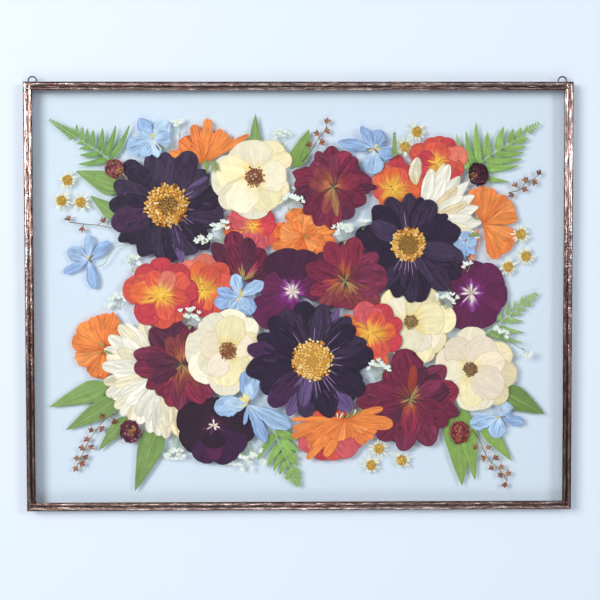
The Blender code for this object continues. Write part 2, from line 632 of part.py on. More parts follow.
def burnet_head(name, surface):
    """A flattened knobbly head."""
    x, z, half_width, half_height, layer, tilt = HEADS[name]
    bm = bmesh.new()
    bmesh.ops.create_icosphere(bm, subdivisions=2, radius=1.0)
    for i, vert in enumerate(bm.verts):
        vert.co *= 1 + KNOB * math.cos(i * GOLDEN_ANGLE)
    longest = max(abs(vert.co.y) for vert in bm.verts)
    thickness = HEAD_THICKNESS / 2 / longest
    bmesh.ops.scale(bm, vec=Vector((half_width, thickness, half_height)), verts=bm.verts)
    bmesh.ops.transform(bm, matrix=Matrix.Rotation(math.radians(tilt), 4, "Y"), verts=bm.verts)
    middle = layer_back(layer) - HEAD_THICKNESS / 2
    bmesh.ops.translate(bm, vec=Vector((x, middle, z)), verts=bm.verts)
    add_object(name, bm, surface, PLANTS_UP)


def clear_scene():
    for item in list(bpy.data.objects):
        bpy.data.objects.remove(item, do_unlink=True)


def main():
    clear_scene()
    glass = material("glass", "#f2f8f8", 0.02)
    copper = material("copper_solder", "#8a5a44", 0.3, 1.0)
    wire = material("dark_wire", "#4a5060", 0.35, 1.0)
    leaf_green = material("pressed_leaf", "#7ea653", 0.6)
    fern_green = material("pressed_fern", "#7fb24f", 0.6)
    burnet_red = material("pressed_burnet", "#7c2a45", 0.7)
    glass_pane("glass_back", 1, glass)
    glass_pane("glass_front", -1, glass)
    copper_border(copper)
    hanging_ring("hanging_ring_left", RING_LEFT_X, wire)
    hanging_ring("hanging_ring_right", RING_RIGHT_X, wire)
    for name in FLOWERS:
        flower(name, material(name, FLOWERS[name][6], 0.6))
    for name in LEAVES:
        leaf(name, leaf_green)
    plate("leaf_split_lower_right", SPLIT_LEAF_OUTLINE, 0, leaf_green)
    for name in FRONDS:
        frond(name, fern_green)
    for name in HEADS:
        burnet_head(name, burnet_red)


main()
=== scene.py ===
"""Looks of the pressed flower frame: its soldered border, panes, pressed petals and leaves.

Lengths in the tables are millimetres in the frame's own axes: X to the right, Z up, and -Y towards
the viewer. Directions are degrees anticlockwise from the right, as seen from the front.
"""

import math
import random
from collections import namedtuple

import bpy
import numpy as np
from mathutils import Matrix, Vector, noise


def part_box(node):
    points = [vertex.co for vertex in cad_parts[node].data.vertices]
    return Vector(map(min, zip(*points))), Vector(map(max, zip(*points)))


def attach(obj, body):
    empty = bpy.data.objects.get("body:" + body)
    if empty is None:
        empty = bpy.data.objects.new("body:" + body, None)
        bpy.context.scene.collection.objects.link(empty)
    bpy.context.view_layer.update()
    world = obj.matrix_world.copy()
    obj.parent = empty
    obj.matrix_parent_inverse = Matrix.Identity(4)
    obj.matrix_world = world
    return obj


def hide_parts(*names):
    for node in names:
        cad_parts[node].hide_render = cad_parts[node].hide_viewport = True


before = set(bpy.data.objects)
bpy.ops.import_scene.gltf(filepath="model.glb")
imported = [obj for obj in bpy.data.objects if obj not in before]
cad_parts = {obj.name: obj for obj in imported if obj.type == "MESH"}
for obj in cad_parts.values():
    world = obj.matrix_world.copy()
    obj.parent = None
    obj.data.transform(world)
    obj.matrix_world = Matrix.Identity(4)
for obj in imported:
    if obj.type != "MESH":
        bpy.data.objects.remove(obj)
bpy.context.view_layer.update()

bl_info = {
    "name": "Pressed flower frame",
    "version": (1, 0, 0),
    "blender": (4, 5, 0),
    "location": "View3D > Sidebar > Flower frame",
    "description": "Dresses the solids of a pressed flower frame with petals, glass and solder",
    "category": "Object",
}

MM = 0.001
FRAME_LOW, FRAME_HIGH = (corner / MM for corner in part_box("copper_border"))
FRAME_WIDTH = FRAME_HIGH.x - FRAME_LOW.x
FRAME_HEIGHT = FRAME_HIGH.z - FRAME_LOW.z
BACK_PANE_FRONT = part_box("glass_back")[0].y / MM
FRONT_PANE_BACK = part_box("glass_front")[1].y / MM
PLANTS_UP = 1.0  # the height that the plants' places are measured from
FULL_TURN = 2 * math.pi
GOLDEN_ANGLE = math.radians(137.5)  # between one floret of a head and the next


def linear(colour):
    """The linear channels of an sRGB colour like #rrggbb."""
    channels = [int(colour[i:i + 2], 16) / 255 for i in (1, 3, 5)]
    return [c / 12.92 if c <= 0.04045 else ((c + 0.055) / 1.055) ** 2.4 for c in channels]


def rows(text):
    """The rows of a text: commas part them, and spaces part their numbers and words."""
    return [tuple(float(value) if value[0] in "-0123456789" else value for value in row.split())
            for row in text.split(",") if row.strip()]


def table(text):
    """Entries that end in semicolons: a name, its own values, and a list of rows after each colon."""
    entries = {}
    for entry in text.split(";"):
        head, *lists = map(rows, entry.split(":"))
        if head:
            name, *own = head[0]
            entries[name] = (own, *lists)
    return entries


# ---------------------------------------------------------------- Shapes of petals and leaves

# An oval blade: where it is widest, how narrow its foot is, how blunt its tip is and how wavy
# its sides are, with its lobes if it has any. A fan instead ends in a broad, lobed edge.
Form = namedtuple("Form", "widest foot tip wave fan lobes depth", defaults=(0, 0, 0))
FORMS = {name: Form(*values) for name, *values in rows("""
dahlia 0.62 0.85 2.1 0.05, pointed 0.6 0.72 1.9 0.055, round 0.6 0.62 2.15 0.045,
strap 0.66 0.6 2.3 0.03, ray 0.56 0.6 1.75 0.05, thread 0.5 0.3 1.6 0, spoon 0.66 0.95 1.7 0.07,
blade 0.34 0.72 1.14 0.012, tooth 0.35 0.5 1.4 0, pinna 0.26 0.5 1.5 0 0 8 0.26,
frill 0.8 1 0.16 0.05 1 3 0.075, scallop 0.8 1 0.34 0.03 1 1 0.045, velvet 0.8 1 0.2 0.02 1 1 0.02
""")}

# Each form's looks: colours of the blade, of the foot and of the rim, the rim partly the petal's
# own edge colour and partly painted shade where petals overlap; how far the foot's colour
# reaches; how strong the streaks and the rim are.
Look = namedtuple("Look", "form blade foot rim reach streak edge")
LOOKS = {name: Look(form, *values) for form, (_, looks) in table("""
dahlia:
night #34253d #22162b #180d20 0.45 0.9 0.85, ink #23152b #1b1020 #120917 0.4 0.8 0.8,
plum #402043 #271530 #612566 0.4 0.8 0.75, lilac #5f4872 #362643 #473555 0.5 1 0.5,
slate #3a2b45 #251a2e #1c1225 0.35 0.9 0.8;
thread:
thread #a583b0 #7a5a86 #6b4f7a 0.3 0.5 0.1, straw #a98a52 #8d9a5a #7a5a3c 0.4 0.4 0.2,
sooty #4a3338 #55503f #2a1c24 0.5 0.4 0.2, carmine #c24a5e #a83a4e #8a2a44 0.4 0.4 0.2,
sunray #f4bf3e #f6cc58 #ee9c3a 0.5 0.3 0.3, vein #92ae68 #89a65f #7e9c56 0.3 0.2 0.2;
pointed:
wine #6a1e38 #7e3531 #3d0c25 0.42 1 0.7, garnet #7f253c #9f4b2d #4d0f2b 0.5 1 0.65,
damson #511d35 #51252b #2f0c20 0.4 1 0.6, flame #7c3438 #a8603a #4e1430 0.65 1 0.6,
scarlet #983628 #8c442a #5e1a26 0.6 0.7 0.6, rosewood #702741 #843e35 #3e0f2c 0.4 1 0.65,
buff #a4704c #ac7a4c #6e3038 0.6 0.9 0.6;
round:
cream #f3e8c9 #f1dfa2 #d6c08a 0.5 0.16 0.8, ivory #f4ead0 #f2e2b4 #dcc89a 0.4 0.16 0.8,
butter #f5e7b6 #f0d68c #d4b878 0.5 0.16 0.8, peach #f0dfc2 #f1dfa8 #cfb48a 0.5 0.14 0.8,
blush #eddcc4 #efdcb4 #cdb08e 0.35 0.14 0.8, bark #8e6240 #6e442c #a98256 0.7 0.9 0.6,
sand #ecdcb0 #e5cf8e #c7ac74 0.5 0.18 0.8, coral #d35340 #e6a63b #a42c45 0.62 0.4 0.75,
crimson #c23b45 #dd7a34 #931f41 0.48 0.4 0.8, orange #dd6337 #e7ac3d #be3b30 0.72 0.4 0.7,
rosy #c8545a #dd8650 #98283f 0.45 0.4 0.8, salmon #db725d #e2a559 #bb3e47 0.55 0.35 0.75;
frill:
tangerine #e37b3b #d26527 #ce6127 0.35 0.75 0.4, apricot #ec904c #e17934 #d86c28 0.3 0.6 0.4,
rust #d86830 #c0571f #bb561d 0.4 0.85 0.4;
scallop:
lobe #de7a3c #d4682c #d26628 0.4 0.7 0.4, bright_lobe #e4853f #dd7430 #d86c28 0.35 0.55 0.4;
strap:
ribbon #ea863f #dc722c #d26523 0.3 0.6 0.45, white #ebe5d4 #dbd0ac #c6bb9c 0.5 0.45 0.75,
warm #e6dabb #d8c89a #c2b28a 0.5 0.5 0.75, tan #ddcaa2 #ccb484 #b89e70 0.5 0.6 0.7,
wisp #e6e6cc #dedaac #d0cda6 0.5 0.3 0.5, glow #8a3484 #efdcdc #662458 0.75 0.5 0.9,
star #f6efcf #f0dc78 #d9bcd2 0.45 0.2 0.5, magenta #571f48 #4c1a42 #35132c 0.4 0.3 0.9,
pollen #e3d896 #cfc47c #b3a664 0.4 0.4 0.4, husk #8a7a5c #6f6a48 #5a5238 0.4 0.4 0.4;
velvet:
violet #5d1c46 #7e2276 #340d28 0.5 0.5 0.8, dusk #3e1531 #521a47 #260a1f 0.45 0.5 0.7,
velvet #271123 #3c1735 #160714 0.4 0.5 0.8, mulberry #39173c #4a1e50 #1c0a1d 0.4 0.5 0.8;
spoon:
sky #9fb9d6 #bed0e1 #7898c8 0.4 0.7 0.6, azure #8faacf #adc4dd #6686bf 0.35 0.7 0.65,
mist #b8cee3 #d0dde5 #8fadd1 0.45 0.6 0.5;
blade:
leaf #7b9855 #718e4a #5e7a40 0.3 0.45 0.6, lime #7f9e4d #739443 #5f7f39 0.3 0.4 0.6,
moss #6c8945 #617d3c #4f6b32 0.3 0.45 0.6, sepal #8c9c5a #7c8f4a #5c6a38 0.3 0.5 0.5;
pinna:
pinna #779f53 #6b9348 #618943 0.3 0.5 0.5, bright_pinna #88ad58 #7da24e #719747 0.3 0.5 0.5,
pale_pinna #92af6d #87a361 #799657 0.3 0.5 0.5;
""").items() for name, *values in looks}
for name in ("pinna", "bright_pinna", "pale_pinna"):
    LOOKS["tooth_" + name] = LOOKS[name]._replace(form="tooth")
for name in ("white", "warm", "tan"):
    LOOKS[name + "_ray"] = LOOKS[name]._replace(form="ray")

PETAL_THICKNESS = 0.06
PANE_ROOM = 2.32  # from the middle of the frame to just before a pane
STACK_DEPTH = 0.34  # what all the petals of a flower take up in a layer
STEP_LIMIT = 0.03  # between one petal and the next
WIDE_PETAL = 10  # from which a petal's grid is a fine one
FINE_GRID = (12, 18)
COARSE_GRID = (6, 12)
LOBED_GRID = (4, 40)
RELIEF = 0.012  # how far a pressed petal still ripples
STALK_VALUES = {"place": (0.3, 0.6, 5.0), "seed": (0.0,)}  # where a stalk counts as lying on a petal
# Waves of a blade's sides: size, how many fit along it, and the phases of the right and left side
SIDE_WAVES = ((1, 2.6, 0, 1), (0.6, 5.3, 2, 3), (0.4, 9.1, 3, 0))


def blade_points(across, along, length, width, form, dice):
    """Where a blade's points go in its own plane, and how far each is from the edge."""
    phases = [dice.uniform(0, FULL_TURN) for _ in range(4)]
    if form.fan:
        spread = math.atan(width / 2 / (form.widest * length))
        notches = np.abs(np.sin(math.pi * form.lobes * (across + 1) / 2 + 0.6 * phases[0])) ** 0.5 - 1
        ruffle = 0.2 * np.cos(5.3 * math.pi * across + phases[1])
        ends = form.depth * (notches + ruffle) * along ** 4
        radius = along * length * (1 - form.tip * np.abs(across) ** 3 + ends)
        side = form.wave * np.sin(FULL_TURN * 2 * along + phases[2]) * across
        angle = (across + side) * spread
        edge = np.minimum((1 - np.abs(across)) * spread * radius, (1 - along) * length)
        return radius * np.sin(angle), radius * np.cos(angle), edge
    # No two petals are widest at the same place or end in the same tip
    widest = form.widest + dice.uniform(-1.2, 1.2) * form.wave
    tip = form.tip * (1 + dice.uniform(-4, 3) * form.wave)
    low = np.sin(math.pi / 2 * np.minimum(along / widest, 1)) ** form.foot
    past = np.clip((along - widest) / (1 - widest), 0, 1)
    half = width / 2 * np.where(past > 0, (1 - past ** tip) ** (1 / tip), low)
    waves = sum(size * np.sin(FULL_TURN * count * along + np.where(across > 0, phases[i], phases[j]))
                for size, count, i, j in SIDE_WAVES)
    half = half * (1 + form.wave * waves)
    if form.lobes:
        half = half * (1 - form.depth * (1 - np.abs(np.sin(math.pi * form.lobes * along))) * along ** 0.3)
    edge = np.minimum((1 - np.abs(across)) * half, (1 - along) * length)
    return across * half, along * length, edge


def paint(made, name, values):
    """Stores a number, a vector or a colour for each point of a mesh, or one for all of them."""
    values = np.broadcast_to(values, (len(made.data.vertices), np.shape(values)[-1]))
    kind, field = {1: ("FLOAT", "value"), 3: ("FLOAT_VECTOR", "vector"),
                   4: ("FLOAT_COLOR", "color")}[values.shape[1]]
    layer = made.data.attributes.new(name, kind, "POINT")
    layer.data.foreach_set(field, np.ravel(values).astype(np.float32))


def select_only(*objects):
    bpy.ops.object.select_all(action="DESELECT")
    for item in objects:
        item.select_set(True)
    bpy.context.view_layer.objects.active = objects[0]


def join(objects):
    select_only(*objects)
    if len(objects) > 1:
        bpy.ops.object.join()
    return bpy.context.object


def points_of(made):
    """The places of a mesh's points, one row each, in metres."""
    flat = np.empty(len(made.data.vertices) * 3, np.float32)
    made.data.vertices.foreach_get("co", flat)
    return flat.reshape(-1, 3).astype(float)


def grid(columns, lines):
    """A flat grid, selected, and each point's place across it (-1 to 1) and along it (0 to 1)."""
    bpy.ops.mesh.primitive_grid_add(x_subdivisions=columns, y_subdivisions=lines, size=2)
    made = bpy.context.object
    x, y, _ = points_of(made).T
    return made, x, (y + 1) / 2


def put_points(made, points):
    """Moves a mesh's points, given in millimetres."""
    made.data.vertices.foreach_set("co", (np.ravel(points) * MM).astype(np.float32))
    made.data.update()


def merge_points(turn_outwards=False):
    """Merges the points of the selected piece that lie in one place."""
    bpy.ops.object.mode_set(mode="EDIT")
    bpy.ops.mesh.select_all(action="SELECT")
    bpy.ops.mesh.remove_doubles(threshold=0.001 * MM)
    if turn_outwards:
        bpy.ops.mesh.normals_make_consistent(inside=False)
    bpy.ops.object.mode_set(mode="OBJECT")


def add_petal(root, direction, length, width, look_name, start=0.0, bend=0.0, depth=0.0, dice=None):
    """One petal or leaf from its root outwards, flat in the layer at a depth (Y)."""
    look = LOOKS[look_name]
    form = FORMS[look.form]
    size = LOBED_GRID if form.lobes and not form.fan else FINE_GRID if width >= WIDE_PETAL else COARSE_GRID
    made, across, row = grid(*size)
    along = row if form.fan else 1 - (1 - row) ** 1.5
    x, y, edge = blade_points(across, along, length, width, form, dice)
    lean = dice.uniform(-1, 1) * form.wave
    x = x + (bend + lean) * length * (y / length) ** 2
    angle = math.radians(direction)
    forward, right = (math.cos(angle), math.sin(angle)), (math.sin(angle), -math.cos(angle))
    phase = dice.uniform(0, FULL_TURN)
    lift = RELIEF * np.cos(3 * math.pi * across + phase) * np.sin(math.pi * along)
    put_points(made, np.stack([
        root[0] + (start + y) * forward[0] + x * right[0],
        depth - lift,
        root[1] + (start + y) * forward[1] + x * right[1],
    ], axis=1))
    paint(made, "place", np.stack([across, along, edge], axis=1))
    paint(made, "seed", [dice.uniform(0, 100)])
    tone = dice.uniform(0.88, 1.1)
    # The rim colour is partly the petal's own edge colour and partly painted shade between overlapping
    # petals
    for layer, colour, strength in (
        ("blade", look.blade, look.streak), ("foot", look.foot, look.reach),
        ("rim", look.rim, look.edge),
    ):
        paint(made, layer, [*(channel * tone for channel in linear(colour)), strength])
    return made


def paint_plain(made, look_name):
    """Gives a piece that is not a blade the values that a petal's surface reads."""
    look = LOOKS[look_name]
    for layer, values in STALK_VALUES.items():
        paint(made, layer, values)
    for layer, colour in (("foot", look.foot), ("rim", look.rim)):
        paint(made, layer, [*linear(colour), 0.1])


def close_and_thicken(made):
    """Merges the points where a blade ends in a tip, gives it its thickness, and returns it."""
    select_only(made)
    merge_points()
    shell = made.modifiers.new("Thickness", "SOLIDIFY")
    shell.thickness, shell.offset = PETAL_THICKNESS * MM, -1.0
    bpy.ops.object.modifier_apply(modifier=shell.name)
    bpy.ops.object.shade_smooth_by_angle(angle=math.radians(40))
    return made


def settle(made, name, surface, slot, *nodes):
    """Names a finished piece, gives it its surface and fixes it to the frame."""
    made.name = name
    made.data.name = name
    made.data.materials.clear()
    made.data.materials.append(surface)
    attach(made, "root")
    if nodes:
        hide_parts(*nodes)


def settle_plant(made, name, surface, slot, *nodes):
    """Settles a piece of a plant, raised to where the plants' places are measured from."""
    made.data.transform(Matrix.Translation((0, 0, PLANTS_UP * MM)))
    settle(made, name, surface, slot, *nodes)


def press(made, back=PANE_ROOM):
    """Squeezes a thick piece between the front pane and a depth behind it, and returns it."""
    points = points_of(made) / MM
    low, high = points[:, 1].min(), points[:, 1].max()
    front, back = max(low, -PANE_ROOM), min(high, back)
    points[:, 1] = front + (points[:, 1] - low) / (high - low) * (back - front)
    put_points(made, points)
    return made


def node_back(node):
    """Y of the back of a CAD node, in millimetres."""
    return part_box(node)[1].y / MM


def over_petals(node):
    """Y just in front of a flower's petals, in millimetres."""
    return node_back(node) - STACK_DEPTH - PETAL_THICKNESS


BACKING_PETALS = 16
BACKING_WIDTH = 18
BACKING_LENGTH = 0.9  # of the nearest petal's
NEAR_PETAL = 25  # degrees to the nearest petal, past which nothing lies behind


def backing(petals, look):
    """Petals behind the others and a little shorter, so that no gap shows between those."""
    made = []
    for number in range(BACKING_PETALS):
        way = number * 360 / BACKING_PETALS
        turns = [abs((petal[0] - way + 180) % 360 - 180) for petal in petals]
        if min(turns) < NEAR_PETAL:
            near = petals[turns.index(min(turns))]
            made.append((way, near[1] * BACKING_LENGTH, BACKING_WIDTH, look))
    return made


def settle_petals(node, root, petals, surface, slot):
    """Stacks a flower's petals towards the viewer and settles them in the place of its node."""
    dice = random.Random(node)
    step = min(STEP_LIMIT, STACK_DEPTH / len(petals))
    depth = node_back(node) - PETAL_THICKNESS
    blades = join([add_petal(root, *petal, depth=depth - index * step, dice=dice)
                   for index, petal in enumerate(petals)])
    settle_plant(close_and_thicken(blades), node + "_petals", surface, slot, node)


# ---------------------------------------------------------------- Small repeated things

Copy = namedtuple("Copy", "spot axis scale colour")


def spot_at(centre, angle, far, depth=0.0):
    """The point at a distance from a centre (X, Z), at an angle in radians and a depth (Y)."""
    return centre[0] + far * math.cos(angle), depth, centre[1] + far * math.sin(angle)


def axis_at(turn, lean):
    """An axis at an angle in radians in the frame's plane, which leans over by a Y."""
    return math.cos(turn), lean, math.sin(turn)


def scatter(template, copies):
    """One mesh of many copies of a small template, each with its own colour."""
    shape = points_of(template) / MM
    faces = [tuple(face.vertices) for face in template.data.polygons]
    points, polygons = [], []
    for number, item in enumerate(copies):
        spin = np.array(Vector((0, 0, 1)).rotation_difference(Vector(item.axis)).to_matrix())
        points.append(np.array(item.scale) * shape @ spin.T + np.array(item.spot))
        polygons += [tuple(i + number * len(shape) for i in face) for face in faces]
    mesh = bpy.data.meshes.new("copies")
    mesh.from_pydata((np.concatenate(points) * MM).tolist(), [], polygons)
    made = bpy.data.objects.new("copies", mesh)
    bpy.context.scene.collection.objects.link(made)
    colours = [[*linear(item.colour), 1.0] for item in copies]
    paint(made, "blade", np.repeat(colours, len(shape), axis=0))
    bpy.data.objects.remove(template, do_unlink=True)
    select_only(made)
    bpy.ops.object.shade_smooth_by_angle(angle=math.radians(60))
    return made


def bead(fineness=2):
    """A small round bead, or a coarser one for things under a millimetre."""
    bpy.ops.mesh.primitive_ico_sphere_add(subdivisions=fineness, radius=0.5 * MM)
    return bpy.context.object


def cup(sides, foot_radius, rim, hollow):
    """A tube that is one long and one wide, and opens upwards in a cup."""
    bpy.ops.mesh.primitive_cone_add(
        vertices=sides, radius1=foot_radius * MM, radius2=0.5 * MM, depth=1.0 * MM,
        location=(0, 0, 0.5 * MM))
    made = bpy.context.object
    bpy.ops.object.transform_apply(location=True)
    bpy.ops.object.mode_set(mode="EDIT")
    bpy.ops.mesh.select_mode(type="FACE")
    bpy.ops.mesh.select_all(action="DESELECT")
    bpy.ops.object.mode_set(mode="OBJECT")
    for face in made.data.polygons:
        face.select = face.normal.z > 0.9
    bpy.ops.object.mode_set(mode="EDIT")
    bpy.ops.mesh.inset(thickness=rim * MM, depth=0)
    bpy.ops.transform.translate(value=(0, 0, -hollow * MM))
    bpy.ops.object.mode_set(mode="OBJECT")
    return made


def floret():
    """A disc floret: a short tube whose rim is drawn out in points."""
    made = cup(8, 0.28, 0.16, 0.35)
    for number, vert in enumerate(made.data.vertices):
        if vert.co.z > 0.9 * MM:
            flare, lift = (1.15, 0.14) if number % 2 else (0.9, -0.1)
            vert.co = (vert.co.x * flare, vert.co.y * flare, vert.co.z + lift * MM)
    return made


def bud_cup():
    """A dry bud: a cup that ends in three points."""
    made = cup(6, 0.12, 0.08, 0.5)
    for number, vert in enumerate(made.data.vertices):
        if vert.co.z > 0.9 * MM and number % 4 < 2:
            vert.co = (vert.co.x * 1.25, vert.co.y * 1.25, vert.co.z + 0.9 * MM)
    return made


def stalk(points, radius, colour, depth):
    """A thin round stalk through points (X, Z), at a depth (Y), tapering to its end."""
    curve = bpy.data.curves.new("stalk", "CURVE")
    curve.dimensions = "3D"
    curve.bevel_depth = radius * MM
    curve.bevel_resolution = 1
    curve.use_fill_caps = True
    curve.resolution_u = 4
    line = curve.splines.new("BEZIER")
    line.bezier_points.add(len(points) - 1)
    for number, (knot, (x, z)) in enumerate(zip(line.bezier_points, points)):
        knot.co = (x * MM, depth * MM, z * MM)
        knot.handle_left_type = knot.handle_right_type = "AUTO"
        knot.radius = 1 - 0.45 * number / len(points)
    made = bpy.data.objects.new("stalk", curve)
    bpy.context.scene.collection.objects.link(made)
    select_only(made)
    bpy.ops.object.convert(target="MESH")
    made = bpy.context.object
    paint(made, "blade", [*linear(colour), 1.0])
    return made


# ---------------------------------------------------------------- Surfaces

def add(tree, kind, inputs=(), **settings):
    """Adds a node, sets its properties, and sets its inputs or links them to a socket or a node."""
    made = tree.nodes.new("ShaderNode" + kind)
    for key, value in settings.items():
        setattr(made, key, value)
    for key, value in dict(inputs).items():
        if isinstance(value, bpy.types.Node):
            value = value.outputs[0]
        if isinstance(value, bpy.types.NodeSocket):
            tree.links.new(value, made.inputs[key])
        else:
            made.inputs[key].default_value = value
    return made


def new_surface(name):
    """A material with no nodes, and its tree."""
    made = bpy.data.materials.new(name)
    made.use_nodes = True
    made.node_tree.nodes.clear()
    return made, made.node_tree


ROLLED_EDGE = 0.12  # how deep a petal's edge is rolled over
CRUMPLE = 7.0  # how much deeper than its ridges a petal is crumpled


def petal_surface(name, veins, roughness, sheen, mottle, rim_and_shade_width, relief):
    """A dried pressed petal: streaked from foot to tip, darker or paler along its rim, partly its own
    edge colour and partly painted shade where petals overlap.

    veins is how many vein pairs cross the petal, and relief how deep they are in millimetres.
    Drying leaves a petal matt, with a faint silky sheen and fine ridges along its veins.
    """
    made, tree = new_surface(name)
    place = add(tree, "Attribute", attribute_name="place")
    side, along, edge = add(tree, "SeparateXYZ", {0: place.outputs["Vector"]}).outputs
    seed = add(tree, "Attribute", attribute_name="seed").outputs["Fac"]
    blade, foot, rim = (add(tree, "Attribute", attribute_name=layer) for layer in ("blade", "foot", "rim"))
    across = add(tree, "Math", {0: side, 1: veins}, operation="MULTIPLY")
    lengthwise = add(tree, "Math", {0: along, 1: 1.6}, operation="MULTIPLY")
    vein_place = add(tree, "CombineXYZ", {0: across, 1: lengthwise, 2: seed})
    streak = add(tree, "TexNoise", {"Vector": vein_place, "Scale": 1.0, "Detail": 4.0, "Roughness": 0.65})
    coordinates = add(tree, "TexCoord").outputs["Object"]
    patches = add(tree, "TexNoise", {"Vector": coordinates, "Scale": 180.0, "Detail": 3.0})
    # Streaks brighten and darken the blade as strongly as its look says
    swing = add(tree, "MapRange", {0: streak, 1: 0.32, 2: 0.68, 3: -0.55, 4: 0.75})
    swung = add(tree, "Math", {0: swing, 1: blade.outputs["Alpha"], 2: 1.0}, operation="MULTIPLY_ADD")
    patchy = add(tree, "MapRange", {0: patches, 1: 0.3, 2: 0.7, 3: 1 - mottle, 4: 1 + mottle})
    value = add(tree, "Math", {0: swung, 1: patchy}, operation="MULTIPLY")
    # The foot's colour runs out in flares of uneven length
    flare_place = add(tree, "CombineXYZ", {0: across, 1: seed})
    flares = add(tree, "TexNoise", {"Vector": flare_place, "Scale": 0.9, "Detail": 2.0})
    far = add(tree, "MapRange", {0: flares, 1: 0.3, 2: 0.7, 3: 0.55, 4: 1.25})
    far = add(tree, "Math", {0: far, 1: foot.outputs["Alpha"]}, operation="MULTIPLY")
    share = add(tree, "Math", {0: along, 1: far}, operation="DIVIDE")
    at_foot = add(tree, "MapRange", {0: share, 1: 1.1, 2: 0.35, 3: 0.0, 4: 1.0},
                  interpolation_type="SMOOTHSTEP")
    colour = add(tree, "Mix", {0: at_foot, 6: blade, 7: foot}, data_type="RGBA").outputs[2]
    toned = add(tree, "HueSaturation", {"Color": colour, "Value": value})
    # Along the edge the rim colour is mixed in: partly the petal's own edge colour, partly painted shade
    # where overlapping petals shade each other
    rim_and_shade_mask = add(tree, "MapRange", {0: edge, 1: rim_and_shade_width, 2: 0.0, 3: 0.0, 4: 1.0},
                   interpolation_type="SMOOTHSTEP")
    rim_and_shade_share = add(tree, "Math", {0: rim_and_shade_mask, 1: rim.outputs["Alpha"]}, operation="MULTIPLY")
    with_rim_and_shade = add(tree, "Mix", {0: rim_and_shade_share, 6: toned, 7: rim}, data_type="RGBA").outputs[2]
    # The edge is rolled over by a tenth of a millimetre, and ridges run from foot to tip
    rolled = add(tree, "MapRange", {0: edge, 1: 0.0, 2: 0.8, 3: 0.0, 4: 1.0},
                 interpolation_type="SMOOTHSTEP")
    bump = None
    for height, depth in ((rolled, ROLLED_EDGE), (patches, CRUMPLE * relief), (streak, relief)):
        under = {"Normal": bump} if bump else {}
        bump = add(tree, "Bump", {"Height": height, "Strength": 1.0, "Distance": depth * MM, **under})
    shader = add(tree, "BsdfPrincipled", {
        "Base Color": with_rim_and_shade, "Roughness": roughness, "Normal": bump, "Sheen Weight": sheen,
        "Sheen Roughness": 0.5, "Specular IOR Level": 0.18})
    add(tree, "OutputMaterial", {0: shader})
    return made


def dry_bits_surface(name, roughness=0.7):
    """Dried florets, stamens, buds and stalks: brittle and matt, each of its own colour."""
    made, tree = new_surface(name)
    blade = add(tree, "Attribute", attribute_name="blade")
    coordinates = add(tree, "TexCoord").outputs["Object"]
    patches = add(tree, "TexNoise", {"Vector": coordinates, "Scale": 900.0, "Detail": 2.0})
    value = add(tree, "MapRange", {0: patches, 1: 0.3, 2: 0.7, 3: 0.75, 4: 1.2})
    toned = add(tree, "HueSaturation", {"Color": blade, "Value": value})
    bump = add(tree, "Bump", {"Height": patches, "Strength": 1.0, "Distance": 0.06 * MM})
    shader = add(tree, "BsdfPrincipled", {
        "Base Color": toned, "Roughness": roughness, "Normal": bump, "Specular IOR Level": 0.2})
    add(tree, "OutputMaterial", {0: shader})
    return made


def glass_surface(settings):
    """Float glass: clear, flat and polished, so the lamps shine through it unbent."""
    made, tree = new_surface("float_glass_polished")
    shader = add(tree, "BsdfPrincipled", {
        "Base Color": (*settings.glass_colour, 1.0), "Roughness": 0.0, "IOR": 1.45,
        "Transmission Weight": 1.0})
    open_way = add(tree, "BsdfTransparent", {0: (*settings.glass_colour, 1.0)})
    path = add(tree, "LightPath").outputs
    lamps = add(tree, "MixShader", {0: path["Is Shadow Ray"], 1: shader, 2: open_way})
    mixed = add(tree, "MixShader", {0: path["Is Diffuse Ray"], 1: lamps, 2: open_way})
    add(tree, "OutputMaterial", {0: mixed})
    return made


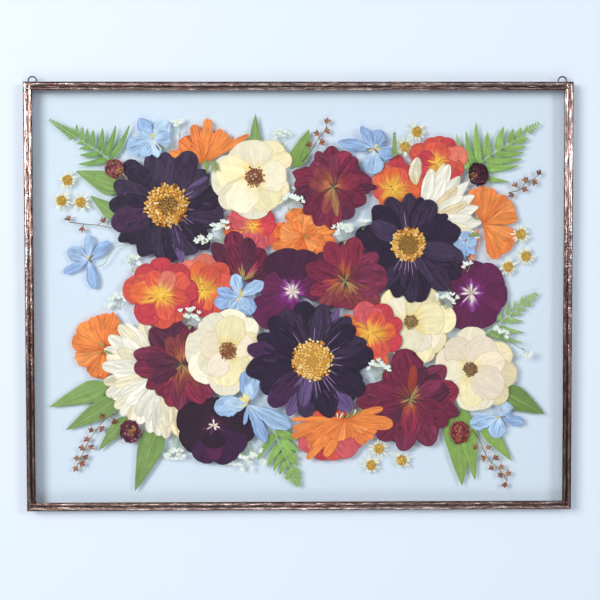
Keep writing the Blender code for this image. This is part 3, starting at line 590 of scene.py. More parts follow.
def solder_surface(settings):
    """Tin solder run by hand, with a brushed-on copper patina: glossy crests, dark brown dips. The crests
    are painted near white, partly bare solder and partly a painted highlight.

    A clear finishing wax lies over it.
    """
    made, tree = new_surface("solder_copper_patina")
    coordinates = add(tree, "TexCoord").outputs["Object"]
    run = add(tree, "Attribute", attribute_name="run")
    upright, crest, _ = add(tree, "SeparateXYZ", {0: run.outputs["Vector"]}).outputs
    # The iron drags the solder along each bar, in streaks 9 mm long and 1 mm wide
    along_bar = []
    for stretch in ((0.12, 1.0, 1.0), (1.0, 1.0, 0.12)):
        place = add(tree, "VectorMath", {0: coordinates, 1: stretch}, operation="MULTIPLY")
        along_bar.append(add(tree, "TexNoise", {
            "Vector": place, "Scale": 900.0, "Detail": 3.0, "Roughness": 0.6}))
    streak = add(tree, "Mix", {0: upright, 2: along_bar[0], 3: along_bar[1]})
    # Patina stays in the groove and along the edges; the crests are painted near white, partly where
    # the patina is rubbed off and partly as a painted highlight
    wrinkles = add(tree, "TexNoise", {"Vector": coordinates, "Scale": 420.0, "Detail": 3.0})
    uneven = add(tree, "MapRange", {0: streak, 1: 0.3, 2: 0.7, 3: -0.45, 4: 0.4})
    rubbed_and_highlight = add(tree, "Math", {0: crest, 1: 0.75, 2: uneven}, operation="MULTIPLY_ADD")
    ramp = add(tree, "ValToRGB", {0: rubbed_and_highlight})
    stops = ramp.color_ramp.elements
    stops[0].position, stops[0].color = 0.12, (*settings.patina_dark, 1.0)
    stops[1].position, stops[1].color = 0.5, (*settings.patina_colour, 1.0)
    # The near-white crests: partly bare solder, partly a painted highlight
    stops.new(0.95).color = (*settings.rubbed_and_highlight_colour, 1.0)
    shine = add(tree, "MapRange", {0: streak, 1: 0.46, 2: 0.58, 3: 0.36, 4: 0.06})
    coarse = add(tree, "Bump", {"Height": wrinkles, "Strength": 1.0, "Distance": 0.16 * MM})
    bump = add(tree, "Bump", {
        "Height": streak, "Strength": 1.0, "Distance": 0.35 * MM, "Normal": coarse})
    shader = add(tree, "BsdfPrincipled", {
        "Base Color": ramp, "Metallic": 1.0, "Roughness": shine, "Normal": bump, "Coat Weight": 0.7,
        "Coat Roughness": 0.04, "Coat IOR": 1.7, "Coat Normal": bump})
    add(tree, "OutputMaterial", {0: shader})
    return made


def wire_surface():
    """Tinned copper wire gone dull: grey, satin, with faint drawing marks."""
    made, tree = new_surface("tinned_wire_dull")
    coordinates = add(tree, "TexCoord").outputs["Object"]
    marks = add(tree, "TexNoise", {"Vector": coordinates, "Scale": 1200.0, "Detail": 2.0})
    shine = add(tree, "MapRange", {0: marks, 1: 0.3, 2: 0.7, 3: 0.3, 4: 0.5})
    shader = add(tree, "BsdfPrincipled", {
        "Base Color": (*linear("#525a6c"), 1.0), "Metallic": 1.0, "Roughness": shine})
    add(tree, "OutputMaterial", {0: shader})
    return made


# ---------------------------------------------------------------- Border, rings and panes

# The border's section: how far in from the outer edge, and Y; the front is two beads and a groove
FRONT_BEADS = rows("""
0 -3.9, 0.25 -4.5, 0.7 -4.95, 1.4 -5.26, 2.2 -5.37, 2.9 -5.28, 3.4 -5, 3.75 -4.78, 4.1 -4.72,
4.45 -4.84, 5 -5.1, 5.6 -5.26, 6.3 -5.22, 6.8 -5.06, 7.15 -4.8
""")
BEHIND_BEADS = rows("""
7.15 -4.7, 2.4 -4.7, 2.4 -2.1, 5.4 -2.1, 5.4 2.1, 2.4 2.1, 2.4 4.7, 5.55 4.7, 5.6 5.2, 5 5.5,
0.9 5.5, 0.3 5.1, 0 4.3, 0 1.5, 0 -1.5
""")
STATION_EVERY = 2.2
GROOVE_Y, BEAD_RISE = 4.7, 0.65  # from the groove to the beads' crests
BEHIND_SHINE = 0.4  # how far the patina is rubbed off behind the beads


def border_stations():
    """Round the outer edge: a point on it, and the way inwards from it."""
    half = FRAME_WIDTH / 2
    corners = [(-half, 0.0), (half, 0.0), (half, FRAME_HEIGHT), (-half, FRAME_HEIGHT)]
    inwards = [(0, 1), (-1, 0), (0, -1), (1, 0)]
    stations = []
    for i, (start, inward) in enumerate(zip(corners, inwards)):
        end = corners[(i + 1) % 4]
        before = inwards[i - 1]
        stations.append((start, (inward[0] + before[0], inward[1] + before[1])))
        count = int((abs(end[0] - start[0]) + abs(end[1] - start[1])) / STATION_EVERY)
        for step in range(1, count):
            spot = tuple(a + (b - a) * (step / count) for a, b in zip(start, end))
            stations.append((spot, inward))
    return stations


def build_border(settings):
    """A section swept round the frame, uneven as hand-run solder is."""
    stations = border_stations()
    section = FRONT_BEADS + BEHIND_BEADS
    made, across, along = grid(len(stations), len(section))
    wander = settings.ridge_wander / MM
    points, runs = [], []
    for column, row in zip(across, along):
        (x, z), (in_x, in_z) = stations[round((column + 1) / 2 * len(stations)) % len(stations)]
        number = round(row * len(section)) % len(section)
        inset, y = section[number]
        if 1 <= number < len(FRONT_BEADS):
            slow = noise.noise(Vector((x * 0.06, inset * 0.3, z * 0.06)))
            quick = noise.noise(Vector((x * 0.22, inset * 0.6 + 7, z * 0.22)))
            sway = noise.noise(Vector((x * 0.07, 30, z * 0.07)))
            y = max(y - wander * (slow + 0.6 * quick), FRAME_LOW.y)
            inset = inset + wander * 1.2 * sway
        points.append((x + inset * in_x, y, z + inset * in_z))
        # crest: how high a point stands on the beads; the surface paints high crests near white, partly as
        # a painted highlight
        crest = min(max((-y - GROOVE_Y) / BEAD_RISE, 0.0), 1.0)
        runs.append((float(in_z == 0), crest if number < len(FRONT_BEADS) else BEHIND_SHINE, 0.0))
    put_points(made, points)
    paint(made, "run", runs)
    merge_points(turn_outwards=True)
    bpy.ops.object.shade_smooth_by_angle(angle=math.radians(50))
    return made


RING_WIRE = 1.2
RING_RADIUS = 3.4
RING_RISE = 1.3
RINGS = {"hanging_ring_left": -221.5, "hanging_ring_right": 220.0}
FILLET_OUT = 3.3  # from a ring's middle to the solder at its two feet


def build_ring(x):
    """A wire ring whose lower part is sunk in the solder of the top edge."""
    middle = Vector((x, 0, FRAME_HEIGHT + RING_RISE)) * MM
    bpy.ops.mesh.primitive_torus_add(
        location=middle, rotation=(math.pi / 2, 0, 0), major_segments=48, minor_segments=14,
        major_radius=RING_RADIUS * MM, minor_radius=RING_WIRE / 2 * MM)
    made = bpy.context.object
    bpy.ops.object.transform_apply(location=True, rotation=True)
    bpy.ops.object.mode_set(mode="EDIT")
    bpy.ops.mesh.select_all(action="SELECT")
    bpy.ops.mesh.bisect(
        plane_co=(0, 0, FRAME_HEIGHT * MM), plane_no=(0, 0, 1), clear_inner=True, use_fill=True)
    bpy.ops.object.mode_set(mode="OBJECT")
    bpy.ops.object.shade_smooth_by_angle(angle=math.radians(50))
    fillets = []
    for side in (-1, 1):
        bpy.ops.mesh.primitive_uv_sphere_add(
            segments=16, ring_count=8, radius=1.0 * MM,
            location=(middle.x + side * FILLET_OUT * MM, 0, FRAME_HEIGHT * MM))
        bpy.ops.transform.resize(value=(1.25, 1.5, 0.62))
        bpy.ops.object.transform_apply(location=True, rotation=True, scale=True)
        bpy.ops.object.shade_smooth()
        fillets.append(bpy.context.object)
    return join([made, *fillets])


# ---------------------------------------------------------------- Flowers

# Each flower: its name and centre, then its petals, the furthest back first, as direction, length,
# width, look, and for some their start from the centre and sideways bend.
# A dark dahlia also has its disc's radius, rise, heart radius and heart colour, and the direction
# and length of the pale threads around the disc.
DARK_DAHLIAS = table("""
dark_dahlia_upper_left -110.5 255 17 1.4 7.5 #4a3a36:
37 44.5 20.5 night, 92 44.5 17 night, 110 47 17 night, 132 50.5 17 ink, 160 48 18 night,
179 48.5 18.5 ink, 218 50.5 14.5 ink, 197 49.5 23 plum, 240 48.5 20.5 ink, 262 47 20.5 night,
278 48 17 ink, 287 50.5 8.5 lilac, 302 47 23 night, 316 50.5 18.5 ink, 350 48.5 23 night,
8 50.5 20.5 ink, 36 42 5 lilac, 65 49.5 20.5 night, 100 40 9 night, 86 40 8 slate, 172 38 11 ink,
24 38 9 slate:
20 8, 28 10, 325 12, 318 9, 350 8, 300 10;
dark_dahlia_right 91.5 222 13 0.9 8 #86642a:
112 43 18 night, 91 43 14.5 night, 76 41 11 ink, 60 42 18.5 night, 40 41 11 ink, 14 45.5 24.5 ink,
-15 48 20.5 night, -33 50.5 20.5 ink, -50 50.5 20.5 night, -74 49.5 20.5 ink, -90 49 14.5 night,
-105 46 17 ink, -121 44.5 14.5 night, -150 42 18.5 ink, 168 45.5 23 ink, 185 40.5 17 ink,
135 43.5 20.5 ink, -13 42 16.5 slate, 148 36 16.5 slate, -60 38 8 slate, -98 36 7 night, 100 34 8 night:
262 14, 270 12, 278 15, 250 12, 240 14, 98 16, 288 10;
dark_dahlia_centre 10.5 125 16.2 0.5 4.5 #c79a44:
62 49.5 8.5 lilac, 47 48.5 18.5 night, 77 48.5 20.5 night, 98 50.5 23 ink, 121 48 23 night,
136 50.5 17 ink, 156 50.5 17 ink, 170 55.5 17 plum, 187 56.5 23 ink, 247 51 15 lilac, 208 49.5 20.5 ink,
225 52 18.5 plum, 307 54 16.5 lilac, 263 48.5 18.5 slate, 287 51 23 ink, 328 51 20.5 ink, 3 52 23 ink,
22 48.5 18.5 night, 78 44 13 slate, 40 46 16 ink, 258 40 11 lilac, 150 42 17.5 ink:
45 20, 85 14, 240 10, 300 16, 308 18, 315 14, 285 14, 278 18, 330 10, 5 12, 350 12, 25 12, 125 14;
""")
FLORETS = 170
FLORET_COLOURS = ["#fdd680", "#f7c05a", "#fbcc6c", "#fee2a4", "#ecb150", "#dc9f40"]
RUSTY_FLORET = "#b5671c"  # some of those at the disc's edge
DISC_FLOOR = "#c28c38"
THREAD_WIDTH = 0.55


def dahlia_disc(node, root, radius, rise, heart, heart_colour):
    """A disc of florets in a spiral, gold outside and brown in its heart."""
    dice = random.Random(node + "_disc")
    copies = []
    for number in range(FLORETS):
        share = math.sqrt((number + 0.5) / FLORETS)
        far = radius * share * dice.uniform(0.95, 1.05)
        angle = number * GOLDEN_ANGLE
        inside = far < heart * dice.uniform(0.85, 1.15)
        # Outside the heart each floret lies over, curled outwards and a little sideways
        tall = rise * dice.uniform(0.7, 1.0)
        over = 0.2 if inside else dice.uniform(1.2, 2.6) * share
        turn = angle + dice.uniform(-0.7, 0.7)
        axis = (math.cos(turn) * over, -tall, math.sin(turn) * over)
        wide = dice.uniform(1.3, 1.8) if inside else dice.uniform(2.0, 3.0)
        colour = heart_colour if inside else dice.choice(FLORET_COLOURS)
        if share > 0.85 and dice.random() < 0.25:
            colour = RUSTY_FLORET
        copies.append(Copy(spot_at(root, angle, far, over_petals(node)), axis,
                           (wide, wide, math.hypot(over, tall) * 0.9), colour))
    return press(scatter(floret(), copies), node_back(node) - STACK_DEPTH)


def disc_floor(node, root, radius):
    """The golden floor under the florets."""
    depth = node_back(node) - STACK_DEPTH - 2 * PETAL_THICKNESS
    bpy.ops.mesh.primitive_circle_add(
        vertices=40, radius=radius * 0.93 * MM, fill_type="TRIFAN", rotation=(math.pi / 2, 0, 0),
        location=(root[0] * MM, depth * MM, root[1] * MM))
    bpy.ops.object.transform_apply(location=True, rotation=True)
    made = bpy.context.object
    paint(made, "blade", [*linear(DISC_FLOOR), 1.0])
    return made


# A burgundy dahlia also has a withered heart, a tuft of thin bracts: direction, length, look
BURGUNDY_DAHLIAS = table("""
burgundy_dahlia_top 29 270:
91 34.5 17.5 wine, 117 33 14 rosewood, 70 32 20 garnet, 51 31 14 wine, 130 28 20 rosewood,
157 37 16 garnet, 178 33.5 17.5 wine, 193 34.5 14 damson, 13 32 23.5 wine, 0 36 7 damson,
-29 30 22 wine, -62 30 17.5 damson, 270 35.5 16 garnet, 246 35.5 17.5 wine, 218 33.5 16 wine,
92 27 9.5 rosewood, 135 22 15.5 flame, 170 21 13 flame, 18 24 14 garnet, 250 24 9.5 flame,
-48 22 10.5 wine, 274 25 6.5 buff:
200 9 sooty, 260 8 straw, 225 12 straw, 300 7 sooty, 95 9 sooty, 60 6 sooty, 20 6 straw, 330 6 sooty,
140 6 sooty, 245 14 buff;
burgundy_dahlia_centre_left -47 192.5:
128 40.5 20 damson, 42 27.5 14 damson, 103 42 20 wine, 58 31 16 wine, 83 36 17.5 damson, 112 32 14 wine,
68 22 10.5 damson:
52 20 carmine, 46 17 carmine, 38 15 straw, 62 18 damson, 75 16 sooty, 30 12 straw, 95 14 straw,
110 12 straw, 20 10 straw, 84 9 straw;
burgundy_dahlia_centre 38 191.5:
-75 25 16 garnet, 252 23.5 15.5 garnet, 114 36 17.5 garnet, 42 36 16 rosewood, 79 38 20 garnet,
158 35.5 20 wine, 199 31 14 garnet, -31 34.5 20 flame, 1 36 29.5 rosewood, 224 30 12 flame,
250 20 12 flame, -58 24 14 flame, 26 26 10.5 rosewood:
95 7 sooty, 270 9 sooty, 300 12 straw, 315 16 straw, 290 8 sooty, 185 8 sooty, 60 8 straw, 0 5 sooty,
140 8 straw, 330 14 straw, 245 6 straw;
burgundy_dahlia_left -98.5 121.5:
128 40.5 20 damson, 99 38.5 22 damson, 77 34.5 16 wine, 164 42 17.5 rosewood, 187 40.5 17.5 wine,
211 36 14 wine, 232 33 16.5 wine, 251 37 17.5 garnet, 263 38.5 16 rosewood, -45 37 17.5 rosewood,
-64 37 17.5 garnet, 152 30 14 wine, 118 26 14 flame, 96 26 10.5 flame, 172 31 15.5 damson,
204 28 13 damson, 262 25 9.5 flame, -52 24 9.5 flame:
90 7 sooty, 150 10 sooty, 185 8 sooty, 220 7 straw, 280 9 straw, 265 8 sooty, 310 10 straw, 60 6 sooty,
20 5 sooty;
burgundy_dahlia_lower_right 93 92:
130 33.5 22 wine, 94 43 27.5 wine, 42 41 20 rosewood, 10 42 26 garnet, -15 43.5 22 wine,
-37 38.5 22 wine, -62 43.5 22 rosewood, 235 43 23.5 wine, 265 44.5 23.5 rosewood, 210 42 17.5 wine,
185 45.5 16 wine, 165 39.5 17.5 rosewood, 118 30 15.5 wine, 64 30 14 damson, 40 32 13 damson,
14 34 17.5 damson, -22 31 15.5 wine, -46 30 15.5 wine, 225 29 14 damson, 196 31 15.5 wine,
160 34 16.5 wine, 271 31 16.5 garnet, 82 29 8 scarlet, 30 30 13 rosewood:
130 9 sooty, 170 10 sooty, 200 9 straw, 230 8 sooty, 280 8 straw, 310 8 sooty, 350 9 sooty, 60 14 straw,
50 12 straw, 25 10 straw, 95 7 sooty, 330 6 straw;
""")
BRACT_WIDTH = 1.3

# A cream rose also has the radius of its heart and two colours of stamens, and the top one has
# some pale stamens: angle in radians and distance from the centre
CREAM_ROSES = table("""
cream_rose_top -37.5 278.5 8.2 #8a4a3a #a8744a:
50 35.5 28.5 sand, 28 35.5 17 sand, 270 35.5 32 ivory, -30 32 24 sand, 97 31 35 cream, 178 36 36 ivory,
-60 31 28 butter, 172 31.5 30 butter, 222 37 22 cream, 240 33 26 cream, 2 27 27 cream:
2.9 2.6, 0.2 1.6, 1.3 2.2, 4.2 2;
cream_rose_left -60 133 7.4 #8a5638 #b07a44:
79 35.5 30 ivory, 124 34.5 28.5 ivory, 47 34.5 20 ivory, 28 28.5 16 butter, -10 25 22 butter,
315 34 28 cream, 177 36 33.5 ivory, 216 37 28.5 ivory, 264 38 30 ivory, 300 28 24 butter,
262 30 28 butter, 215 28 24 cream, 18 23 20 peach, 160 24 25 peach, 84 30 25 butter,
237 24.5 18.5 blush:;
cream_rose_right 93.5 157 5.8 #8a6a44 #a5834e:
-38 35 25 sand, -66 37 20 butter, 90 32 26 butter, 132 33 26 butter, 51 33.5 26 sand, 3 38.5 25 butter,
-40 30 25 cream, 287 37 23.5 butter, 232 30 22 cream, 180 30 25 butter, -62 27 20 ivory,
200 24 24 cream, 120 26 26 cream, 60 26 26 butter, 270 24 20 cream, 9 28.5 28 butter:;
cream_rose_lower_right 144 117 5.8 #7a5a3a #96744a:
26 38 25 sand, -10 39.5 25 sand, -44 40.5 23.5 sand, -70 36 24 ivory, 87 36 25 cream, -85 35.5 30 cream,
215 36 26 cream, 159 31 28.5 peach, 123 31 25 peach, -90 32 20 butter, 190 26 22 cream, 58 31 27 blush,
16 30 22 peach, -36 33 28 blush:;
""")
STAMEN_COUNT = 84
PALE_STAMEN = "#e2d6ba"
BARK_PETALS = 6  # short brown ones under the stamens


def rose_heart(node, root, radius, dark, light, pale):
    """A pressed ring of stamens, thickest in the middle."""
    dice = random.Random(node + "_heart")
    ground = over_petals(node)
    copies = []
    for number in range(STAMEN_COUNT):
        far = radius * math.sqrt((number + 0.5) / STAMEN_COUNT) * dice.uniform(0.85, 1.1)
        angle = number * GOLDEN_ANGLE
        size = dice.uniform(1.0, 1.9)
        spot = spot_at(root, angle, far, ground - dice.uniform(0.0, 0.35))
        axis = axis_at(angle, dice.uniform(-0.4, 0.2))
        copies.append(Copy(spot, axis, (size, size * 0.55, size * 1.25),
                           dice.choice([dark, light, dark])))
    for angle, far in pale:
        spot = spot_at(root, angle, far, ground - 0.4)
        copies.append(Copy(spot, (0, -1, 0), (1.3, 1.6, 0.6), PALE_STAMEN))
    return scatter(bead(), copies)


# A coral ranunculus also has the yellow rays in its heart, as direction and length, and the places
# of small brown dots there, as X, Z. Either list may be empty
CORAL_RANUNCULUS = table("""
coral_ranunculus_left -115 181.5:
95 30 22 crimson, 48 30.5 20 crimson, 4 30 22 crimson, -55 28 18.5 coral, -85 30 22 coral,
-130 31 25 crimson, 170 33 25 coral, 130 29.5 20 crimson, 35 26 18 coral, -25 26 18 crimson,
150 26 20 coral, -132 25 19 crimson, 178 27 20 orange, 118 21 16 coral, -78 23.5 17 coral,
-12 22 15 coral, 66 20 16 salmon:
20 8, 48 5, 75 6, 105 5, 130 9, 152 6, 170 9, 215 9, 240 6, 262 7, 305 6, 345 9:
-113.5 177.5;
coral_ranunculus_centre_left -81.5 184:
82 31 24 salmon, 45 30 20 coral, 15 28 20 coral, -25 25 18 orange, -55 23.5 18 coral,
-90 22.5 20 crimson, 120 28.5 20 salmon, 180 23.5 22 crimson, 100 24 18 orange, -20 19 16 orange,
-70 18 11 orange, -105 19 10 crimson, 60 22.5 19 coral:
95 11, 140 6, 255 12, 270 8, 290 9, 330 6, 25 6, 200 5:
-81.5 184, -82 189;
coral_ranunculus_upper_left -39 237.5:
100 15 16 crimson, 160 22.5 18 rosy, 190 25 15 orange, 25 20 18 crimson, -10 22 16 crimson,
-35 27 14 coral, -60 22 15 rosy, -100 17 16 rosy, 150 20 20 rosy, 10 19 20 crimson:
20 6, 80 4, 150 6, 210 4, 265 6, 325 5:
-39 238;
coral_ranunculus_top_right 115 290:
150 25 18 coral, 110 22 14 coral, 80 23 16 coral, 55 24 16 crimson, 14 27 20 salmon, -18 24 16 coral,
-42 24 14 crimson, 190 22 18 crimson, -90 20 20 coral, 95 18 22 coral, 30 20 16 salmon, 60 16 14 coral,
152 16 12 crimson, -20 17 13 coral:
165 8, 60 6, 100 5, -30 6:;
coral_ranunculus_upper_right 78.5 269:
82 28.5 16 crimson, 48 24 18 crimson, 10 28.5 22 coral, 120 24 16 salmon, 160 20 14 salmon,
200 17 14 coral, 240 18 14 orange, -50 22 18 coral, -95 20 18 orange, -12 23 18 orange, 60 19 17 coral,
130 18 17 orange, 95 18 15 orange:
75 5, 125 5, 30 6, 350 5, 180 6, 220 7, 265 6, 310 6:
78 268, 77 270.5;
coral_ranunculus_right 60 148:
145 27.5 8 orange, -62 30 8 orange, 105 27.5 20 rosy, 60 27.5 20 crimson, 18 27.5 18 crimson,
-20 27.5 20 crimson, -80 24 18 coral, 180 22 18 orange, -120 20 18 orange, 82 22 18 rosy,
-50 23 13 coral, 8 21 16 orange, -75 20 12 coral, 68 18.5 17 coral:
270 11, 262 9, 175 6, 120 4:;
coral_ranunculus_bottom 26.5 64.5:
20 24 16 coral, 60 22 18 coral, 120 22 18 coral, 170 26 16 rosy, 204 30 20 rosy, 245 26 18 crimson,
278 24.5 18 coral, -18 29 18 rosy, -47 27.5 20 rosy, 215 24 16 salmon, 265 18 14 salmon::;
""")
RAY_WIDTH = 1.6
DOT_COLOUR = "#6b3a1c"


def heart_dots(node, spots):
    """Small brown dots in the heart of a flower."""
    return scatter(bead(), [Copy((x, over_petals(node), z), (0, -1, 0), (1.5, 1.3, 0.3), DOT_COLOUR)
                            for x, z in spots])


ORANGE_COSMOS = table("""
orange_cosmos_upper_left -80 290:
118 27 28 rust, 75 27 26 tangerine, 150 25 16 tangerine, 162 30 8 bright_lobe, 135 28 13 lobe,
104 33 11.5 lobe, 62 32.5 9 lobe, 50 33 8 bright_lobe, 84 38 10 bright_lobe, 33 45 5 ribbon,
40 34 4 ribbon, 100 20 20 tangerine;
orange_cosmos_upper 3 228.5:
163 25 16 rust, 200 27.5 10 lobe, 100 25 26 tangerine, 65 21 20 rust, 28 25 14 apricot,
14 27.5 9 bright_lobe, -11 28.5 12 tangerine, -46 22 16 tangerine, -75 18 18 rust, 241 15 20 tangerine,
215 21 14 lobe, 85 19 22 apricot, -8 18 13 lobe, -50 15 13 apricot, 258 12 14 rust, 168 20 21 apricot,
120 15 13 tangerine, 35 13 13 tangerine;
orange_cosmos_right 154 239:
252 24 3.8 ribbon 8, 238 15 3 ribbon 5, 92 32 30 tangerine, 105 29 10 lobe, 80 31 10 bright_lobe,
-46 32 36 tangerine, -20 25 12 apricot, -68 32 12 lobe, -50 28 12 bright_lobe, 36 31 30 apricot,
14 30 13 bright_lobe, 50 30 12 lobe;
orange_cosmos_left -163.5 134:
50 20 8 rust, 84 31 26 tangerine, 74 33 8 lobe, 203 26 18 apricot, 253 25 24 rust, 240 25 9 lobe,
274 21 9 lobe, 262 23 5 ribbon, 163 28.5 22 lobe, 133 30 22 bright_lobe, 108 30 16 lobe;
orange_cosmos_bottom 38 76:
180 45 4 ribbon, 265 18 14 rust, -49 28 13 lobe, -31 29.5 17 tangerine, 244.5 36.5 10 bright_lobe,
192 45 9 bright_lobe, 200 48.5 8 lobe, 212 38 14 tangerine, 228 46.5 9 bright_lobe, 222 34 7 ribbon,
236 30 8 ribbon, 205 30 11 lobe, -20 22 15 apricot, -60 19 11 lobe, 252 20 14 apricot,
228 22 15 tangerine, 14.5 33.5 6.5 ribbon, -8 41 12.5 ribbon;
""")

# A pansy also has the pale petals of its star
PANSIES = table("""
violet_pansy_centre -5.5 183:
108 37 44 dusk, 62 37 36 dusk, 170 27 34 violet, 10 24 30 violet, 265 34 34 violet, 220 40 40 violet:
90 10 4 glow, 130 13 4 glow, 55 12 2.4 glow, 160 12 3 glow, 200 11 4 glow, 250 11 4 glow, 300 11 4 glow,
345 10 4 glow, 20 9 2 glow, 92 5.5 1.3 star, 158 8 1 star, 195 6 1.2 star, 245 6 1.3 star,
300 6.5 1.3 star, 350 5.5 1.6 star, 48 6 0.8 star;
violet_pansy_right 144.5 181:
130 22 32 violet, 215 19 32 violet, 88 28 34 violet, 45 31 28 violet, 22 30 18 violet, 172 16 28 violet,
-5 31 28 violet, -35 29 26 violet, -64 32 28 violet, -108 32 34 violet:
90 13 3.4 glow, 120 10 2.2 glow, 150 12 3.4 glow, 182 12 3 glow, 45 11 3 glow, 20 8 2 glow, 0 11 3 glow,
275 16 6 glow, 255 10 2.4 glow, 300 12 3 glow, 228 15 2 glow, 90 8 1.2 star, 148 8.5 1.1 star,
182 8.5 1.1 star, 225 10.5 0.7 star, 278 7.5 2.2 star, 42 6.5 1.1 star, 5 6.5 1 star;
dark_pansy_bottom -72 70.5:
75 24 26 velvet, 120 27 28 velvet, 165 32.5 34 velvet, 28 33 26 velvet, -5 35.5 30 velvet,
212 32 30 velvet, -38 33 22 mulberry, -68 35 28 mulberry, 250 33.5 26 mulberry, 271 30 14 magenta 0 0,
268 20 28 velvet:
100 8 4 magenta, 200 11 3 magenta, 330 9 3 magenta, 30 7 3 magenta, 250 9 4 magenta, 95 5 1.4 star,
170 4.5 1.6 star, 210 7 0.9 star, 290 4.5 1.7 star, 335 5.5 1.4 star, 20 3.5 1.2 star;
""")

WHITE_MUMS = table("""
white_mum_left -114.5 113:
112 51 12.5 warm, 126 53 12.5 white, 132 56 12.5 warm, 146 56 12.5 white, 155 54 12.5 white,
163 50 11.5 warm, 171 52 12.5 white, 187 50.5 12.5 warm, 198 51 12.5 white, 206 47 11.5 white,
213 49.5 12.5 warm, 223 49.5 12.5 white, 233 48 12.5 warm, 244 47 11.5 white, 255 50.5 12.5 white,
265 52 12.5 white, 273 54 12.5 warm, 284 53.5 11.5 tan, 138 46 11.5 white, 150 44 11.5 warm,
165 43 11.5 white, 180 42 11.5 white, 192 42 11.5 warm, 207 40 11.5 white, 219 40 11.5 white,
236 41 11.5 white, 249 41 11.5 white, 262 43 10.5 white, 276 44 10.5 warm;
white_mum_right 103.5 238:
99.5 23 11 warm_ray 34 0.15, 81 48 12 white_ray, 74 55 12.5 warm_ray, 66 55.5 12.5 white_ray,
55 51.5 12.5 white_ray, 44 53 12.5 white_ray, 31 50 12.5 white_ray, 18 49.5 12.5 white_ray,
5 49.5 12.5 white_ray, -10 49.5 12.5 white_ray, 80 45 10.5 white_ray, 62 44 10.5 white_ray,
50 43 9 tan_ray, 38 42 10.5 white_ray, 26 42 9 tan_ray, 12 42 10.5 white_ray, -2 41 9 warm_ray;
""")

DELPHINIUMS = table("""
delphinium_upper_left -122 310:
49 20 14 mist, 5 15 14 sky, 122 20.5 12 azure, 204 23 16 sky, 240 18 12 sky, 288 16 9 mist,
135 12 10 sky, 95 5 1.6 pollen, 70 4.5 1.4 pollen, 115 4 1.4 pollen, 300 6 1.4 husk 5, 320 6 1.2 husk 5;
delphinium_left -176.5 209.5:
210 23.5 7 azure, -78 25 9.5 azure, 90 21 8 sky, 38 23.5 9 azure, 151 19 13 sky, 45 6 1.6 husk,
100 4 1.6 pollen, 330 4 1.4 husk, 200 4 1.6 mist;
delphinium_centre_left -50 178.5:
200 22 12 azure, -50 18 14 azure, 105 19.5 11 sky, 35 23.5 11 sky, 167 20 10 azure, 240 15 12 sky,
300 14 11 sky, 90 7 1.8 pollen, 60 6 1.6 pollen, 120 5 1.6 mist, 20 4 1.6 pollen, 240 4 2 pollen;
delphinium_top 62.5 301.5:
-18 18.5 12 azure, 270 21 17 sky, 117 22 8 azure, 69 17 13 azure, 166 31 10 azure, 0 6 2 pollen,
60 5 2 pollen, 180 7 1.4 husk, 200 5 1.4 pollen, 320 5 1.6 husk;
delphinium_right 139 224:
189 12 9 sky, 270 12 10 azure, -50 13.5 9 azure, 82 9 10 azure, -12 10 10 sky, 220 8 8 sky,
60 3 1.6 husk;
delphinium_bottom -43.5 88:
264 17.5 4 azure, -31 41 15 sky, 99 28 10 azure, 73 27 11 sky, 183 28.5 18 sky, -65 35.5 10 azure,
178 20 12 mist, 85 18 8 mist, 110 10 3.4 pollen, 140 9 3 pollen, 165 7 2.6 mist, 90 8 2.4 pollen,
60 5 2 husk, 200 5 2.4 pollen, 300 8 2 mist;
delphinium_lower_right 169 76.5:
65 14.5 14 mist, 258 18.5 14 sky, -14 21 9 azure, 5 12 6 azure, 198 26 13 sky, 60 5 2.6 mist,
110 4 2.2 mist, 0 5 1.4 husk, 190 4 1.8 pollen;
""")


# ---------------------------------------------------------------- Leaves, ferns and heads

# Leaves: each blade's tip X, Z, base X, Z, width and look. The last one is split at its tip
LEAVES = table("""
leaf_upper_left: -186.5 283.5 -147 269 20 leaf;
leaf_upper_left_low: -174.5 263 -150 244 13 leaf;
leaf_top_left: -36.5 331 -37 296 10 leaf;
leaf_top: 8.5 318 -4 286 15 lime;
leaf_left_upper: -210 85.5 -160 105 18.5 leaf;
leaf_left_middle: -196 66 -149 95 18 leaf;
leaf_left_lower: -169.5 49 -145 78 12.5 leaf;
leaf_bottom: -138.5 14.5 -118.5 72 22.5 leaf;
leaf_lower_right: 179 38.5 153 74 14 lime;
leaf_right: 206.5 78.5 168 100 21 moss;
leaf_split_lower_right: 137.5 18 131.5 84 23.5 lime, 148.5 22.5 138 84 17 lime;
""")
MIDRIB_WIDTH = 0.7
MIDRIB_OVER = 0.04  # how far a midrib lies in front of its blade
BLADE_STEP = 0.03  # between the two blades of the split leaf

